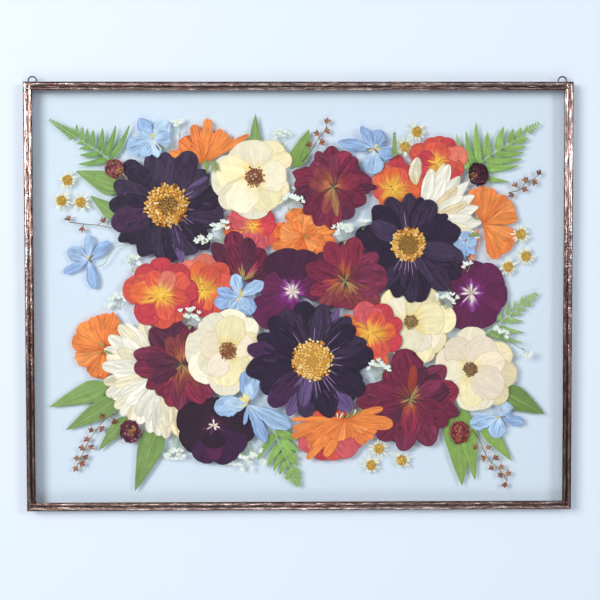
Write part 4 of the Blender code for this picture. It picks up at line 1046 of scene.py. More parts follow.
# Fronds: look, then the stalk from base to tip, then the leaflets as place along the stalk, tip X,
# Z and width
FRONDS = table("""
fern_upper_left pinna:
-156 291, -166 299, -177 306, -187 312.5, -208.5 326.5:
0.05 -141.5 321.5 5.5, 0.13 -153 321 6, 0.22 -164 319 5.5, 0.34 -171.5 317.5 5, 0.43 -176.5 318.5 4,
0.5 -180.5 320 4, 0.57 -185.5 322.5 3.5, 0.08 -183.5 289.5 5.5, 0.2 -182.5 297 5.5, 0.34 -183 302.5 4,
0.46 -185 306.5 4;
fern_upper_right bright_pinna:
143 281, 157 294, 171 303, 184 311, 201.5 324:
0.03 176 274.5 5.5, 0.12 184 288 7, 0.24 186.5 293.5 6.5, 0.37 188 299 6, 0.5 190 304 5.5,
0.62 190.5 309 4, 0.7 192.5 310.5 3.5, 0.02 132 313.5 5.5, 0.09 140 316 6, 0.17 148.5 323 7,
0.28 158 315.5 7, 0.42 171.5 320 7, 0.58 179.5 318.5 5.5, 0.7 185.5 319.5 5, 0.81 190 319.5 3.5;
fern_right pale_pinna:
156 146, 168.5 156, 180 165, 190 173, 202 182:
0.08 187.5 139.5 5.5, 0.2 188.5 148 5.5, 0.36 187.5 157.5 5.5, 0.5 187.5 163.5 4, 0.6 191 167 4,
0.7 195 171 3.5, 0.3 168 167 4, 0.44 176 173 4, 0.57 181.5 174.5 3.5, 0.68 187 176.5 3.5;
fern_bottom bright_pinna:
-22 68, -16 52, -10 38, -5 27, 0 16.5:
0.1 -35 41 7, 0.28 -27 35.5 7, 0.42 -22 31.5 6, 0.55 -17 28 5.5, 0.68 -11.5 24 4, 0.06 -2 57 8.5,
0.22 -1 48 8.5, 0.36 -1.5 41 7, 0.48 -1 36 5.5, 0.62 -1 31 3.5;
""")
TIP_STEP = 2.1  # from one pair of a frond's smallest leaflets to the next
LEAFLET_BEND = 0.2
TIP_LEAFLET_BEND = 0.15
LEAFLET_STEP = 0.004  # between one leaflet and the next
LEAFLET_VEIN = 0.35
VEIN_OVER = 0.05  # how far the veins and the stalk lie in front of the leaflets
FROND_STALK = 0.4, "#a9c284"

# Knobbly heads: X, Z, half width, half height, tilt, the calyx's direction and length, and colours
HEADS = table("""
burnet_head_upper_left -154 285.5 8 8 0 -35 10 #9a4a58 #b0586a #74303f #8a6a48;
burnet_head_lower_left -142.5 65 9 10 20 35 9 #6a2c44 #7c3450 #4c1c32 #8a5a44;
burnet_head_upper_right 150 280.5 9 10 15 200 9 #42162a #541c34 #2c0e1e;
burnet_head_lower_right 135 63.5 8.5 10 0 115 9 #8a3440 #a8484c #6a2430 #a05a3c;
""")
KNOBS = 84
CALYX_BITS = 16
CALYX_COLOURS = ["#c08a3a", "#a8682c", "#d0a050", "#8a4a30"]
HEAD_STALK = 0.6, "#c9947a"


def towards(root, tip):
    """Direction in degrees and length from one point to another."""
    x, z = tip[0] - root[0], tip[1] - root[1]
    return math.degrees(math.atan2(z, x)), math.hypot(x, z)


def build_leaf(node, parts):
    """A leaf from one or more blades, each with a midrib of a paler green."""
    dice = random.Random(node)
    depth = node_back(node) - PETAL_THICKNESS
    made = []
    for tip_x, tip_z, *base, width, look in parts:
        direction, length = towards(base, (tip_x, tip_z))
        made.append(add_petal(base, direction, length, width, look, depth=depth, dice=dice))
        made.append(add_petal(base, direction, length * 0.97, MIDRIB_WIDTH, "vein",
                              depth=depth - MIDRIB_OVER, dice=dice))
        depth -= BLADE_STEP
    return close_and_thicken(join(made))


def along_stalk(points, share):
    """The point at a share of a stalk's length."""
    knots = [Vector(point) for point in points]
    lengths = [(b - a).length for a, b in zip(knots, knots[1:])]
    left = share * sum(lengths)
    for a, b, length in zip(knots, knots[1:], lengths):
        if left <= length:
            break
        left -= length
    return a + (b - a).normalized() * left


def build_frond(node, look, points, leaflets):
    """A fern frond: toothed leaflets that curve forwards, shrinking to a fine tip."""
    dice = random.Random(node)
    depth = node_back(node) - PETAL_THICKNESS
    made = []
    for number, (share, tip_x, tip_z, width) in enumerate(leaflets):
        root = along_stalk(points, share)
        direction, length = towards(root, (tip_x, tip_z))
        onwards, _ = towards(root, points[-1])
        bend = LEAFLET_BEND if (direction - onwards) % 360 < 180 else -LEAFLET_BEND
        direction += math.degrees(math.atan(bend))
        made.append(add_petal(root, direction, length, width, look, 0, bend,
                              depth=depth - LEAFLET_STEP * number, dice=dice))
        made.append(add_petal(root, direction, length * 0.9, LEAFLET_VEIN, "vein", 0, bend,
                              depth=depth - VEIN_OVER - LEAFLET_STEP * number, dice=dice))
    first = max(share for share, *_ in leaflets) + 0.02
    whole = sum((Vector(b) - Vector(a)).length for a, b in zip(points, points[1:]))
    count = int((1 - first) * whole / TIP_STEP)
    longest = 0.85 * length
    for number in range(count):
        share = first + (1 - first) * number / count
        left = 1 - number / count
        root = along_stalk(points, share)
        way, _ = towards(root, along_stalk(points, min(share + 0.05, 1.0)))
        for side in (-1, 1):
            made.append(add_petal(root, way + side * (26 + 30 * left), 1.6 + longest * left,
                                  1.3 + 0.7 * left, "tooth_" + look, 0, -side * TIP_LEAFLET_BEND,
                                  depth=depth - LEAFLET_STEP / 2 * number, dice=dice))
    blades = close_and_thicken(join(made))
    rib = stalk(points, *FROND_STALK, depth - VEIN_OVER)
    paint_plain(rib, look)
    return join([blades, rib])


def build_head(node, x, z, half_width, half_height, tilt, way, length, *colours):
    """A pressed burnet head: knobs all over a flattened ball, with what is left of its calyx."""
    dice = random.Random(node)
    low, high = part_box(node)
    middle, thick = (low.y + high.y) / 2 / MM, (high.y - low.y) / 2 / MM
    tip = math.radians(tilt)
    copies = []
    for number in range(KNOBS):
        up = 1 - 2 * (number + 0.5) / KNOBS
        ring = math.sqrt(1 - up * up)
        angle = number * GOLDEN_ANGLE
        a, b, c = ring * math.cos(angle), ring * math.sin(angle), up
        spread = dice.uniform(0.84, 1.0)
        across, high_up = a * half_width * spread, c * half_height * spread
        spot = (x + across * math.cos(tip) - high_up * math.sin(tip), middle + b * thick * 0.7,
                z + across * math.sin(tip) + high_up * math.cos(tip))
        size = dice.uniform(2.8, 4.2)
        copies.append(Copy(spot, (a, b, c + 0.01), (size, size, 0.9), dice.choice(colours)))
    angle = math.radians(way)
    for number in range(CALYX_BITS):
        turn = angle + dice.uniform(-0.7, 0.7)
        far = dice.uniform(0.2, 0.85) * length * 0.8
        copies.append(Copy(spot_at((x, z), turn, far, middle - thick * 0.8), axis_at(turn, -0.3),
                           (1.2, 0.8, 3.4), dice.choice(CALYX_COLOURS)))
    knobs = press(scatter(bead(), copies))
    ends = [spot_at((x, z), angle, length * share)[::2] for share in (0.7, 1.25)]
    return join([knobs, stalk(ends, *HEAD_STALK, middle)])


# ---------------------------------------------------------------- Daisies, twigs and sprigs

BEHIND_FLOWERS = BACK_PANE_FRONT - 0.9  # Y of what lies behind the flowers, and of what lies on them
BEFORE_FLOWERS = FRONT_PANE_BACK + 0.6
SMALL_PIECES_SEED = 11

DAISIES = rows("""
-193.5 276, -198.5 259, -182.5 257.5, 98.5 316, 88.5 303.5, 186 230.5, 190.5 212, 175.5 203, 67 50,
60.5 36, 86 40
""")
DAISY_DISC = 4.2
DAISY_FLORETS = 46
DAISY_COLOURS = ["#dcb04a", "#cfa040", "#e6c05c", "#c09038"]
DAISY_PETALS = 13
DAISY_GAPS = 0.12  # the share of petals that have dropped

# Bud twigs: the stem's points, then each bud's place and the way it points
TWIGS = table("""
upper_left:
-192 241, -180 239.5, -169 238.5, -156.5 236:
-192 243.5 130, -181 236 260, -163.5 241.5 110;
top:
2 291, 9.5 299.5, 16.5 311, 23 318:
23 324 75, 22 316.5 20, 15.5 314 150, 9.5 305 130, 18 306.5 30;
upper_right:
177 265.5, 185.5 268, 189 272.5, 198 277.5, 202.5 282.5:
200.5 281 60, 196.5 275 320, 190 275 110, 181.5 271 120, 188 268.5 340, 179 263.5 200;
lower_left:
-153 81, -159.5 78.5, -165.5 73.5, -170.5 67, -175 61, -179 54.5, -181.5 48.5, -184 43.5, -186.5 38,
-188 33.5:
-155.5 75 280, -165.5 77 110, -167 68.5 320, -174.5 66 150, -178 58.5 150, -176.5 52.5 330, -182 51 160,
-181.5 44 330, -186.5 42.5 170, -184 39 320, -188 35 240;
lower_right:
146 65.5, 152 56.5, 157 45.5, 162 38, 169 32, 175.5 22:
149.5 52 230, 158.5 50.5 20, 156.5 42 200, 164.5 41.5 30, 163 34 210, 169.5 34 20, 170.5 28 220,
175.5 28 30, 174 20 260;
""")
TWIG_STEM = 0.42, "#74693c"
BUD_STALK = 0.3, "#7f6a40"
BUD_STALK_FROM = 1.5  # how far a bud is from its stem at least, if it has a stalk
BUD_COLOURS = ["#8e5838", "#a56a44", "#7a4632", "#b27a4c"]
BUD_HEART = "#7a3a30"

# White sprigs: root X, Z, the way they point, spread, reach, and how many flowers
SPRIGS = table("""
behind:
-76 222 150 0.4 10 5, 0 262 60 1.2 9 12, -140 200 60 1.1 12 12, -150 168 110 1.2 12 12,
-104 63 265 0.5 20 16, -46 64 268 0.75 30 34, -14 305 95 0.7 12 8, -99.5 311 95 0.4 14 8;
before:
-63.5 224 100 0.5 17 14, -64 225 168 0.3 16 6, 38 222 95 0.7 16 18, 53 234 80 0.6 9 5,
-92 151 80 0.6 17 16, 64 108 80 0.8 17 16, 122.5 167.5 80 0.9 13 13, 141 199 100 0.7 7 4,
165 142 60 0.8 10 8, 187 135 310 0.5 8 5, -9 250 75 0.7 15 13;
""")
SPRIG_STALK = 0.22, "#93a56e"
SPRIG_CUPS = ["#a3b380", "#8fa66a", "#b7c49a"]
SPRIG_PETALS = ["#f1f4ef", "#e6ebe0", "#dde5d2"]

# Loose stems and curls: radius and colour, then the points
STEMS = table("""
left_stem 0.45 #a3b286:
-168.5 203.5, -163.5 206, -160 211.5, -156 217.5, -151 221, -141 221;
bottom_stem 0.5 #8fa06a:
-33 84.5, -30.5 71, -27 58.5;
top_curl 0.6 #8fae5c:
-111.5 301, -112.5 305.5, -110 308.5, -107.5 306, -108 302;
top_stem 0.7 #7d7a48:
-118 303, -115 301, -112 303;
right_stem 0.4 #74855a:
156 146, 166 143, 175.5 140.5, 184.5 135.5, 189 133;
""")
# Sepals and stamens that show between petals: X, Z, direction, length, width, look
SEPALS = rows("""
-79 293 285 13 4 sepal, -73 293 300 12 4 sepal, -76 291 265 10 3.5 sepal, -70 290 250 9 3 sepal,
-164 137 120 5 2.5 sepal, -163 134 330 7 2.5 sepal, -165 133 200 4 2 sepal, 151 243 170 7 2 sepal,
149 231 195 9 2.5 sepal, 150 229 150 7 3 sepal, 5 227 70 3.5 1.8 sepal, 32 76 95 5 1.2 wisp,
33.5 76 60 6 1.4 wisp, 36 76.5 82 5 1.6 sepal, 38 76 40 8 1.5 sepal, 41 78 100 4 1.2 husk,
42 77 35 9 1.6 sepal, 45 78.5 65 6 1.4 wisp, 47 80 30 8 1.5 sepal, 79.5 295 90 23 1.4 sepal
""")
# A short spike of green between the blue and the coral flower at the top
SEPALS += [(79.5, 295 + 2.6 * step, 90 + side * 28, 5 - 0.4 * step, 2.2, "sepal")
           for step in range(8) for side in (-1, 1)]


def daisies(dice):
    """Feverfew daisies: a domed gold disc and short ray petals, some of them missing."""
    made, florets = [], []
    depth = BACK_PANE_FRONT - 0.5
    for root in DAISIES:
        start = dice.uniform(0, 360)
        for number in range(DAISY_PETALS):
            if dice.random() < DAISY_GAPS:
                continue
            direction = start + number * 360 / DAISY_PETALS + dice.uniform(-8, 8)
            length = dice.uniform(6.8, 9.2)
            made.append(add_petal(root, direction, length, dice.uniform(1.2, 2.0), "wisp",
                                  depth=depth, dice=dice))
            depth -= 0.0005
        for number in range(DAISY_FLORETS):
            far = DAISY_DISC * math.sqrt((number + 0.5) / DAISY_FLORETS)
            rise = 0.9 * (1 - (far / DAISY_DISC) ** 2)
            florets.append(Copy(spot_at(root, number * GOLDEN_ANGLE, far, depth - 0.25 - rise),
                                (0, -1, 0), (1.5, 1.5, 1.1), dice.choice(DAISY_COLOURS)))
    return close_and_thicken(join(made)), scatter(bead(1), florets)


def bud_twigs(dice):
    """Thin twigs with dry, pointed buds on short stalks."""
    made, cups = [], []
    depth = BEHIND_FLOWERS
    for _, points, buds in TWIGS.values():
        made.append(stalk(points, *TWIG_STEM, depth))
        knots = [Vector(point) for point in points]
        for x, z, way in buds:
            near = min(knots, key=lambda knot: (knot - Vector((x, z))).length)
            if (near - Vector((x, z))).length > BUD_STALK_FROM:
                made.append(stalk([near, (x, z)], *BUD_STALK, depth))
            angle = math.radians(way)
            for turn in (-0.55, 0.0, 0.55):
                size = dice.uniform(1.3, 1.8)
                cups.append(Copy(spot_at((x, z), angle, -1.4, depth), axis_at(angle + turn, 0),
                                 (size, size * 0.5, size * 1.5), dice.choice(BUD_COLOURS)))
            cups.append(Copy(spot_at((x, z), angle, 0.8, depth - 0.3), axis_at(angle, 0),
                             (0.8, 0.5, 1.6), BUD_HEART))
    return join([*made, scatter(bud_cup(), cups)])


def white_sprigs(dice):
    """Sprigs of tiny white flowers: pale pointed petals in green cups on hair-thin stalks."""
    made, petals, cups = [], [], []
    depths = {"behind": BEHIND_FLOWERS, "before": BEFORE_FLOWERS}
    for place, (_, sprigs) in SPRIGS.items():
        depth = depths[place]
        for *root, way, spread, reach, count in sprigs:
            for number in range(int(count)):
                share = (number + 0.5) / count * 2 - 1
                turn = math.radians(way) + share * spread * dice.uniform(0.7, 1.1)
                x, _, z = spot_at(root, turn, reach * dice.uniform(0.55, 1.0))
                if number % 3 == 0:
                    made.append(stalk([root, (x, z)], *SPRIG_STALK, depth))
                cups.append(Copy((x, depth - 0.1, z), axis_at(turn, 0), (1.0, 0.7, 2.2),
                                 dice.choice(SPRIG_CUPS)))
                for lean in (-0.6, 0.0, 0.6):
                    tilt = turn + lean + dice.uniform(-0.25, 0.25)
                    size = dice.uniform(1.3, 1.9)
                    petals.append(Copy(spot_at((x, z), tilt, 1.7, depth - 0.3), axis_at(tilt, 0),
                                       (size, 0.35, size * 2.3), dice.choice(SPRIG_PETALS)))
    return join([*made, scatter(bead(1), cups), scatter(bead(1), petals)])


def green_stems(dice):
    """Stems, sepals and stamens left between the flowers."""
    depth = FRONT_PANE_BACK + 0.5
    blades = join([add_petal((x, z), *blade, depth=depth, dice=dice) for x, z, *blade in SEPALS])
    stems = [close_and_thicken(blades)]
    for (radius, colour), points in STEMS.values():
        stems.append(stalk(points, radius, colour, BEHIND_FLOWERS))
        paint_plain(stems[-1], "sepal")
    return join(stems)


# ---------------------------------------------------------------- The add-on

COLOUR = {"subtype": "COLOR", "size": 3}
DISTANCE = {"subtype": "DISTANCE", "unit": "LENGTH", "min": 0.0}


class FrameSettings(bpy.types.PropertyGroup):
    """Sizes and colours of the border and the panes."""

    ridge_wander: bpy.props.FloatProperty(
        name="Ridge wander", description="How far the solder's ridges stray",
        default=0.22 * MM, **DISTANCE)
    patina_colour: bpy.props.FloatVectorProperty(
        name="Patina", description="Colour of most of the border", default=linear("#7c5447"),
        **COLOUR)
    patina_dark: bpy.props.FloatVectorProperty(
        name="Dark patina", description="Colour in the dips of the solder",
        default=linear("#2a141a"), **COLOUR)
    # Near white on the crests: partly solder where the patina is rubbed off, partly a painted highlight
    rubbed_and_highlight_colour: bpy.props.FloatVectorProperty(
        name="Bright patina", description="Colour where the solder is rubbed",
        default=linear("#dccac0"), **COLOUR)
    glass_colour: bpy.props.FloatVectorProperty(
        name="Glass", description="Tint of the panes", default=(0.988, 0.997, 1.0), **COLOUR)


class StageSettings(bpy.types.PropertyGroup):
    """Wall, lamps and camera."""

    wall_colour: bpy.props.FloatVectorProperty(
        name="Wall", description="Colour of the wall behind", default=linear("#dfe9f4"), **COLOUR)
    wall_gap: bpy.props.FloatProperty(
        name="Wall gap", description="From the back of the frame to the wall", default=1.0 * MM,
        **DISTANCE)
    key_power: bpy.props.FloatProperty(
        name="Key lamp", description="Power of the large lamp at the upper left", default=30.7,
        min=0.0, unit="POWER")
    backdrop_strength: bpy.props.FloatProperty(
        name="Backdrop", description="Brightness of the surroundings where they are seen",
        default=0.85, min=0.0)
    sky_strength: bpy.props.FloatProperty(
        name="Surroundings", description="Brightness of the surroundings as a light",
        default=0.19, min=0.0)


# Lamps: place in metres, size, share of the key lamp's power and colour. They stand clear of what
# the panes mirror towards the camera, and the last one lights the frame's back
LAMPS = {
    "key_lamp": ((-1.35, -1.8, 0.9), 1.1, 1.0, "#fffdf8"),
    "right_lamp": ((1.5, -1.75, 0.65), 0.7, 0.54, "#f6f9ff"),
    "left_lamp": ((-1.55, -1.7, 0.5), 0.8, 0.44, "#f6f9ff"),
    "top_lamp": ((0.35, -1.75, 1.35), 0.8, 0.08, "#fdfcff"),
    "floor_lamp": ((0.0, -1.7, -1.1), 1.0, 0.3, "#f8f8fc"),
    "back_lamp": ((-1.1, 1.5, 0.9), 1.2, 0.7, "#fbfbff"),
}
WALL_SIZE = 6.0
WALL_MIDDLE = 0.2  # its height over the frame's lower edge, in metres like its size
# Where the camera stands, in millimetres, and how it is turned
CAMERA_PLACE = (-9.73, -900, 205.7)
CAMERA_YAW = math.radians(0.653)
CAMERA_PITCH = math.radians(-1.851)
CAMERA_ROLL = math.radians(-0.097)
CAMERA_LENS = 64.45
CAMERA_SENSOR = 36.0
SURROUNDINGS = "#eaf2ff"


def camera_matrix():
    """The camera's place, turned right by its yaw, up by its pitch and rolled."""
    turn = (Matrix.Rotation(-CAMERA_YAW, 4, "Z")
            @ Matrix.Rotation(math.pi / 2 + CAMERA_PITCH, 4, "X"))
    return Matrix.Translation(Vector(CAMERA_PLACE) * MM) @ turn @ Matrix.Rotation(CAMERA_ROLL, 4, "Z")


def wall_surface(settings):
    """Matt wall paint. From behind it is open, so the lamp there lights the frame's back."""
    made, tree = new_surface("wall_matt_paint")
    paint_shader = add(tree, "BsdfPrincipled", {
        "Base Color": (*settings.wall_colour, 1.0), "Roughness": 0.9, "Specular IOR Level": 0.1})
    behind = add(tree, "BsdfTransparent")
    backfacing = add(tree, "NewGeometry").outputs["Backfacing"]
    mixed = add(tree, "MixShader", {0: backfacing, 1: paint_shader, 2: behind})
    shadow = add(tree, "LightPath").outputs["Is Shadow Ray"]
    passed = add(tree, "MixShader", {0: shadow, 1: mixed, 2: behind})
    add(tree, "OutputMaterial", {0: passed})
    return made


class FLOWER_FRAME_OT_stage(bpy.types.Operator):
    """Builds the wall, the lamps and the camera"""

    bl_idname = "flower_frame.stage"
    bl_label = "Stage"

    def execute(self, context):
        settings = context.scene.flower_frame_stage
        bpy.ops.mesh.primitive_plane_add(
            size=WALL_SIZE, location=(0, FRAME_HIGH.y * MM + settings.wall_gap, WALL_MIDDLE),
            rotation=(math.pi / 2, 0, 0))
        wall = context.object
        wall.name = "wall"
        wall.data.materials.append(wall_surface(settings))
        for name, (place, size, share, colour) in LAMPS.items():
            light = bpy.data.lights.new(name, "AREA")
            light.energy = settings.key_power * share
            light.size = size
            light.color = linear(colour)
            lamp = bpy.data.objects.new(name, light)
            lamp.location = place
            lamp.visible_transmission = False  # its light passes the panes, but it isn't seen
            aim = Vector((0, 0, FRAME_HEIGHT * MM / 2)) - lamp.location
            lamp.rotation_euler = aim.to_track_quat("-Z", "Y").to_euler()
            context.scene.collection.objects.link(lamp)
        world = bpy.data.worlds.new("surroundings")
        world.use_nodes = True
        tree = world.node_tree
        # Pale where they are seen, also through glass, but dim as a light and in reflections
        path = add(tree, "LightPath").outputs
        straight = add(tree, "Math", {0: path["Is Camera Ray"], 1: path["Is Transmission Ray"]},
                       operation="MAXIMUM")
        turned_back = add(tree, "Math", {0: path["Diffuse Depth"], 1: path["Glossy Depth"]},
                          operation="ADD")
        seen = add(tree, "Math", {0: straight, 1: turned_back}, operation="SUBTRACT")
        strength = add(tree, "MapRange", {0: seen, 3: settings.sky_strength,
                                          4: settings.backdrop_strength})
        background = tree.nodes["Background"]
        background.inputs[0].default_value = (*linear(SURROUNDINGS), 1.0)
        tree.links.new(strength.outputs[0], background.inputs[1])
        context.scene.world = world
        view = bpy.data.cameras.new("camera")
        view.lens = CAMERA_LENS
        view.sensor_width = CAMERA_SENSOR
        camera = bpy.data.objects.new("camera", view)
        camera.matrix_world = camera_matrix()
        context.scene.collection.objects.link(camera)
        context.scene.camera = camera
        context.scene.view_settings.view_transform = "Standard"
        return {"FINISHED"}


class FLOWER_FRAME_OT_border(bpy.types.Operator):
    """Builds the soldered border with its two beads"""

    bl_idname = "flower_frame.border"
    bl_label = "Soldered border"

    def execute(self, context):
        settings = context.scene.flower_frame
        made = build_border(settings)
        settle(made, "soldered_border", solder_surface(settings), "copper_solder", "copper_border")
        return {"FINISHED"}


class FLOWER_FRAME_OT_rings(bpy.types.Operator):
    """Builds the two wire rings on the top edge"""

    bl_idname = "flower_frame.rings"
    bl_label = "Hanging rings"

    def execute(self, context):
        surface = wire_surface()
        for node, x in RINGS.items():
            settle(build_ring(x), node + "_wire", surface, "dark_wire", node)
        return {"FINISHED"}


class FLOWER_FRAME_OT_panes(bpy.types.Operator):
    """Gives the two panes their glass"""

    bl_idname = "flower_frame.panes"
    bl_label = "Glass panes"

    def execute(self, context):
        surface = glass_surface(context.scene.flower_frame)
        for node in ("glass_back", "glass_front"):
            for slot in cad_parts[node].material_slots:
                slot.material = surface
        return {"FINISHED"}


class FLOWER_FRAME_OT_dark_dahlias(bpy.types.Operator):
    """Builds the three near-black dahlias with their golden discs"""

    bl_idname = "flower_frame.dark_dahlias"
    bl_label = "Dark dahlias"

    def execute(self, context):
        surface = petal_surface("dark_dahlia_petal_pressed", veins=6.0, roughness=0.42, sheen=0.04,
                                mottle=0.15, rim_and_shade_width=0.9, relief=0.1)
        bits = dry_bits_surface("dahlia_disc_dried")
        for node, ((*root, radius, rise, heart, colour), petals, threads) in DARK_DAHLIAS.items():
            around = [(way, length, THREAD_WIDTH, "thread", radius * 0.9) for way, length in threads]
            settle_petals(node, root, backing(petals, "ink") + petals + around, surface,
                          "dark_dahlia_petals")
            disc = join([dahlia_disc(node, root, radius, rise, heart, colour),
                         disc_floor(node, root, radius)])
            settle_plant(disc, node + "_disc", bits, "dark_dahlia_petals")
        return {"FINISHED"}


class FLOWER_FRAME_OT_burgundy_dahlias(bpy.types.Operator):
    """Builds the five burgundy dahlias"""

    bl_idname = "flower_frame.burgundy_dahlias"
    bl_label = "Burgundy dahlias"

    def execute(self, context):
        surface = petal_surface("burgundy_dahlia_petal_pressed", veins=5.0, roughness=0.45, sheen=0.06,
                                mottle=0.14, rim_and_shade_width=0.9, relief=0.08)
        for node, (root, petals, bracts) in BURGUNDY_DAHLIAS.items():
            tuft = [(way, length, BRACT_WIDTH, look) for way, length, look in bracts]
            settle_petals(node, root, backing(petals, "damson") + petals + tuft, surface,
                          "burgundy_dahlia_petals")
        return {"FINISHED"}


class FLOWER_FRAME_OT_cream_roses(bpy.types.Operator):
    """Builds the four cream roses with their brown stamens"""

    bl_idname = "flower_frame.cream_roses"
    bl_label = "Cream roses"

    def execute(self, context):
        surface = petal_surface("cream_rose_petal_pressed", veins=6.0, roughness=0.62, sheen=0.05,
                                mottle=0.05, rim_and_shade_width=0.9, relief=0.04)
        bits = dry_bits_surface("rose_stamens_dried")
        for node, ((*root, radius, dark, light), petals, pale) in CREAM_ROSES.items():
            around = [(number * 360 / BARK_PETALS + 10, radius * 0.8, radius * 0.7, "bark")
                      for number in range(BARK_PETALS)]
            settle_petals(node, root, petals + around, surface, "cream_rose_petals")
            stamens = rose_heart(node, root, radius, dark, light, pale)
            settle_plant(stamens, node + "_stamens", bits, "cream_rose_petals")
        return {"FINISHED"}


class FLOWER_FRAME_OT_coral_ranunculus(bpy.types.Operator):
    """Builds the seven coral ranunculus with their yellow stars"""

    bl_idname = "flower_frame.coral_ranunculus"
    bl_label = "Coral ranunculus"

    def execute(self, context):
        surface = petal_surface("ranunculus_petal_pressed", veins=4.0, roughness=0.5, sheen=0.1,
                                mottle=0.08, rim_and_shade_width=1.1, relief=0.04)
        bits = dry_bits_surface("ranunculus_heart_dried")
        for node, (root, petals, star, dots) in CORAL_RANUNCULUS.items():
            rays = [(way, length, RAY_WIDTH, "sunray") for way, length in star]
            settle_petals(node, root, petals + rays, surface, "coral_ranunculus_petals")
            if dots:
                settle_plant(heart_dots(node, dots), node + "_heart", bits, "coral_ranunculus_petals")
        return {"FINISHED"}


class FLOWER_FRAME_OT_orange_cosmos(bpy.types.Operator):
    """Builds the five frilled orange cosmos"""

    bl_idname = "flower_frame.orange_cosmos"
    bl_label = "Orange cosmos"

    def execute(self, context):
        surface = petal_surface("cosmos_petal_pressed", veins=5.0, roughness=0.6, sheen=0.05,
                                mottle=0.1, rim_and_shade_width=0.8, relief=0.09)
        for node, (root, petals) in ORANGE_COSMOS.items():
            settle_petals(node, root, petals, surface, "orange_cosmos_petals")
        return {"FINISHED"}


class FLOWER_FRAME_OT_pansies(bpy.types.Operator):
    """Builds the three pansies with their pale stars"""

    bl_idname = "flower_frame.pansies"
    bl_label = "Pansies"

    def execute(self, context):
        surface = petal_surface("pansy_petal_velvet", veins=5.0, roughness=0.65, sheen=0.08,
                                mottle=0.08, rim_and_shade_width=0.9, relief=0.03)
        for node, (root, petals, star) in PANSIES.items():
            slot = "dark_pansy_petals" if node == "dark_pansy_bottom" else "violet_pansy_petals"
            settle_petals(node, root, petals + star, surface, slot)
        return {"FINISHED"}


class FLOWER_FRAME_OT_white_mums(bpy.types.Operator):
    """Builds the two white chrysanthemums, pressed as half flowers"""

    bl_idname = "flower_frame.white_mums"
    bl_label = "White chrysanthemums"

    def execute(self, context):
        surface = petal_surface("chrysanthemum_petal_pressed", veins=2.4, roughness=0.6, sheen=0.05,
                                mottle=0.04, rim_and_shade_width=0.8, relief=0.09)
        for node, (root, petals) in WHITE_MUMS.items():
            settle_petals(node, root, petals, surface, "white_mum_petals")
        return {"FINISHED"}


class FLOWER_FRAME_OT_delphiniums(bpy.types.Operator):
    """Builds the seven blue delphinium florets"""

    bl_idname = "flower_frame.delphiniums"
    bl_label = "Delphiniums"

    def execute(self, context):
        surface = petal_surface("delphinium_petal_pressed", veins=4.0, roughness=0.6, sheen=0.05,
                                mottle=0.06, rim_and_shade_width=0.9, relief=0.06)
        for node, (root, petals) in DELPHINIUMS.items():
            settle_petals(node, root, petals, surface, "delphinium_petals")
        return {"FINISHED"}


class FLOWER_FRAME_OT_leaves(bpy.types.Operator):
    """Builds the eleven single leaves"""

    bl_idname = "flower_frame.leaves"
    bl_label = "Leaves"

    def execute(self, context):
        surface = petal_surface("leaf_pressed", veins=9.0, roughness=0.55, sheen=0.0, mottle=0.1,
                                rim_and_shade_width=0.6, relief=0.04)
        for node, (_, parts) in LEAVES.items():
            settle_plant(build_leaf(node, parts), node + "_blade", surface, "leaf_green", node)
        return {"FINISHED"}


class FLOWER_FRAME_OT_ferns(bpy.types.Operator):
    """Builds the four fern fronds"""

    bl_idname = "flower_frame.ferns"
    bl_label = "Fern fronds"

    def execute(self, context):
        surface = petal_surface("fern_pressed", veins=3.0, roughness=0.6, sheen=0.0, mottle=0.1,
                                rim_and_shade_width=0.5, relief=0.05)
        for node, ((look,), points, leaflets) in FRONDS.items():
            made = build_frond(node, look, points, leaflets)
            settle_plant(made, node + "_frond", surface, "fern_green", node)
        return {"FINISHED"}


class FLOWER_FRAME_OT_burnets(bpy.types.Operator):
    """Builds the four knobbly burnet heads"""

    bl_idname = "flower_frame.burnets"
    bl_label = "Burnet heads"

    def execute(self, context):
        surface = dry_bits_surface("burnet_head_dried", 0.75)
        for node, (head,) in HEADS.items():
            settle_plant(build_head(node, *head), node + "_knobs", surface, "burnet_red", node)
        return {"FINISHED"}


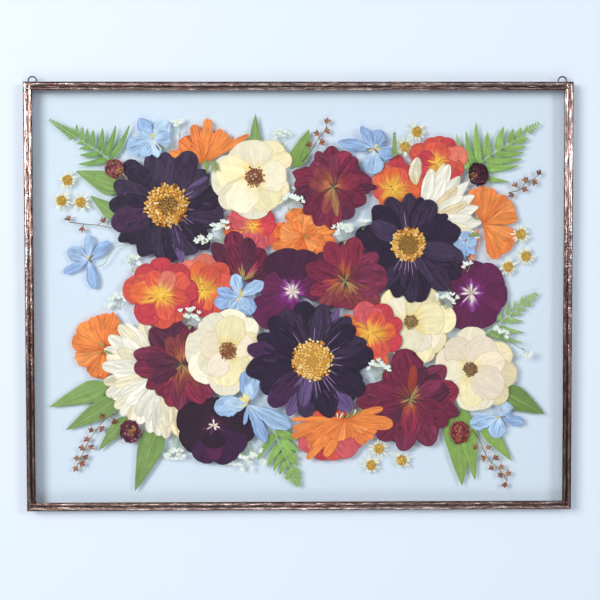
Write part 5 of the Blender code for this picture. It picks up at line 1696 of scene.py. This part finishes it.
class FLOWER_FRAME_OT_small_pieces(bpy.types.Operator):
    """Builds the feverfew daisies, bud twigs and white sprigs"""

    bl_idname = "flower_frame.small_pieces"
    bl_label = "Daisies, twigs and sprigs"

    def execute(self, context):
        dice = random.Random(SMALL_PIECES_SEED)
        bits = dry_bits_surface("small_pieces_dried")
        petals = petal_surface("feverfew_petal_pressed", veins=2.0, roughness=0.6, sheen=0.0,
                               mottle=0.04, rim_and_shade_width=0.4, relief=0.04)
        blades, discs = daisies(dice)
        settle_plant(blades, "feverfew_petals", petals, "white_mum_petals")
        settle_plant(discs, "feverfew_discs", bits, "white_mum_petals")
        settle_plant(bud_twigs(dice), "bud_twigs", bits, "burnet_red")
        settle_plant(white_sprigs(dice), "white_sprigs", bits, "white_mum_petals")
        greens = petal_surface("stem_and_sepal_pressed", veins=3.0, roughness=0.6, sheen=0.0,
                               mottle=0.1, rim_and_shade_width=0.5, relief=0.04)
        settle_plant(green_stems(dice), "stems_and_sepals", greens, "leaf_green")
        return {"FINISHED"}


class FLOWER_FRAME_PT_panel(bpy.types.Panel):
    """Lists the frame's settings and operators"""

    bl_idname = "FLOWER_FRAME_PT_panel"
    bl_label = "Flower frame"
    bl_space_type = "VIEW_3D"
    bl_region_type = "UI"
    bl_category = "Flower frame"

    def draw(self, context):
        for settings in (context.scene.flower_frame, context.scene.flower_frame_stage):
            for key in settings.__annotations__:
                self.layout.prop(settings, key)
        for operator in OPERATORS:
            self.layout.operator(operator.bl_idname)


OPERATORS = (
    FLOWER_FRAME_OT_stage, FLOWER_FRAME_OT_border, FLOWER_FRAME_OT_rings, FLOWER_FRAME_OT_panes,
    FLOWER_FRAME_OT_dark_dahlias, FLOWER_FRAME_OT_burgundy_dahlias, FLOWER_FRAME_OT_cream_roses,
    FLOWER_FRAME_OT_coral_ranunculus, FLOWER_FRAME_OT_orange_cosmos, FLOWER_FRAME_OT_pansies,
    FLOWER_FRAME_OT_white_mums, FLOWER_FRAME_OT_delphiniums, FLOWER_FRAME_OT_leaves,
    FLOWER_FRAME_OT_ferns, FLOWER_FRAME_OT_burnets, FLOWER_FRAME_OT_small_pieces,
)
CLASSES = (FrameSettings, StageSettings, *OPERATORS, FLOWER_FRAME_PT_panel)


def register():
    for item in CLASSES:
        bpy.utils.register_class(item)
    bpy.types.Scene.flower_frame = bpy.props.PointerProperty(type=FrameSettings)
    bpy.types.Scene.flower_frame_stage = bpy.props.PointerProperty(type=StageSettings)


def unregister():
    del bpy.types.Scene.flower_frame_stage
    del bpy.types.Scene.flower_frame
    for item in reversed(CLASSES):
        bpy.utils.unregister_class(item)


def main():
    register()
    bpy.ops.object.select_all(action="DESELECT")
    for operator in OPERATORS:
        group, name = operator.bl_idname.split(".")
        getattr(getattr(bpy.ops, group), name)()


if __name__ == "__main__":
    main()
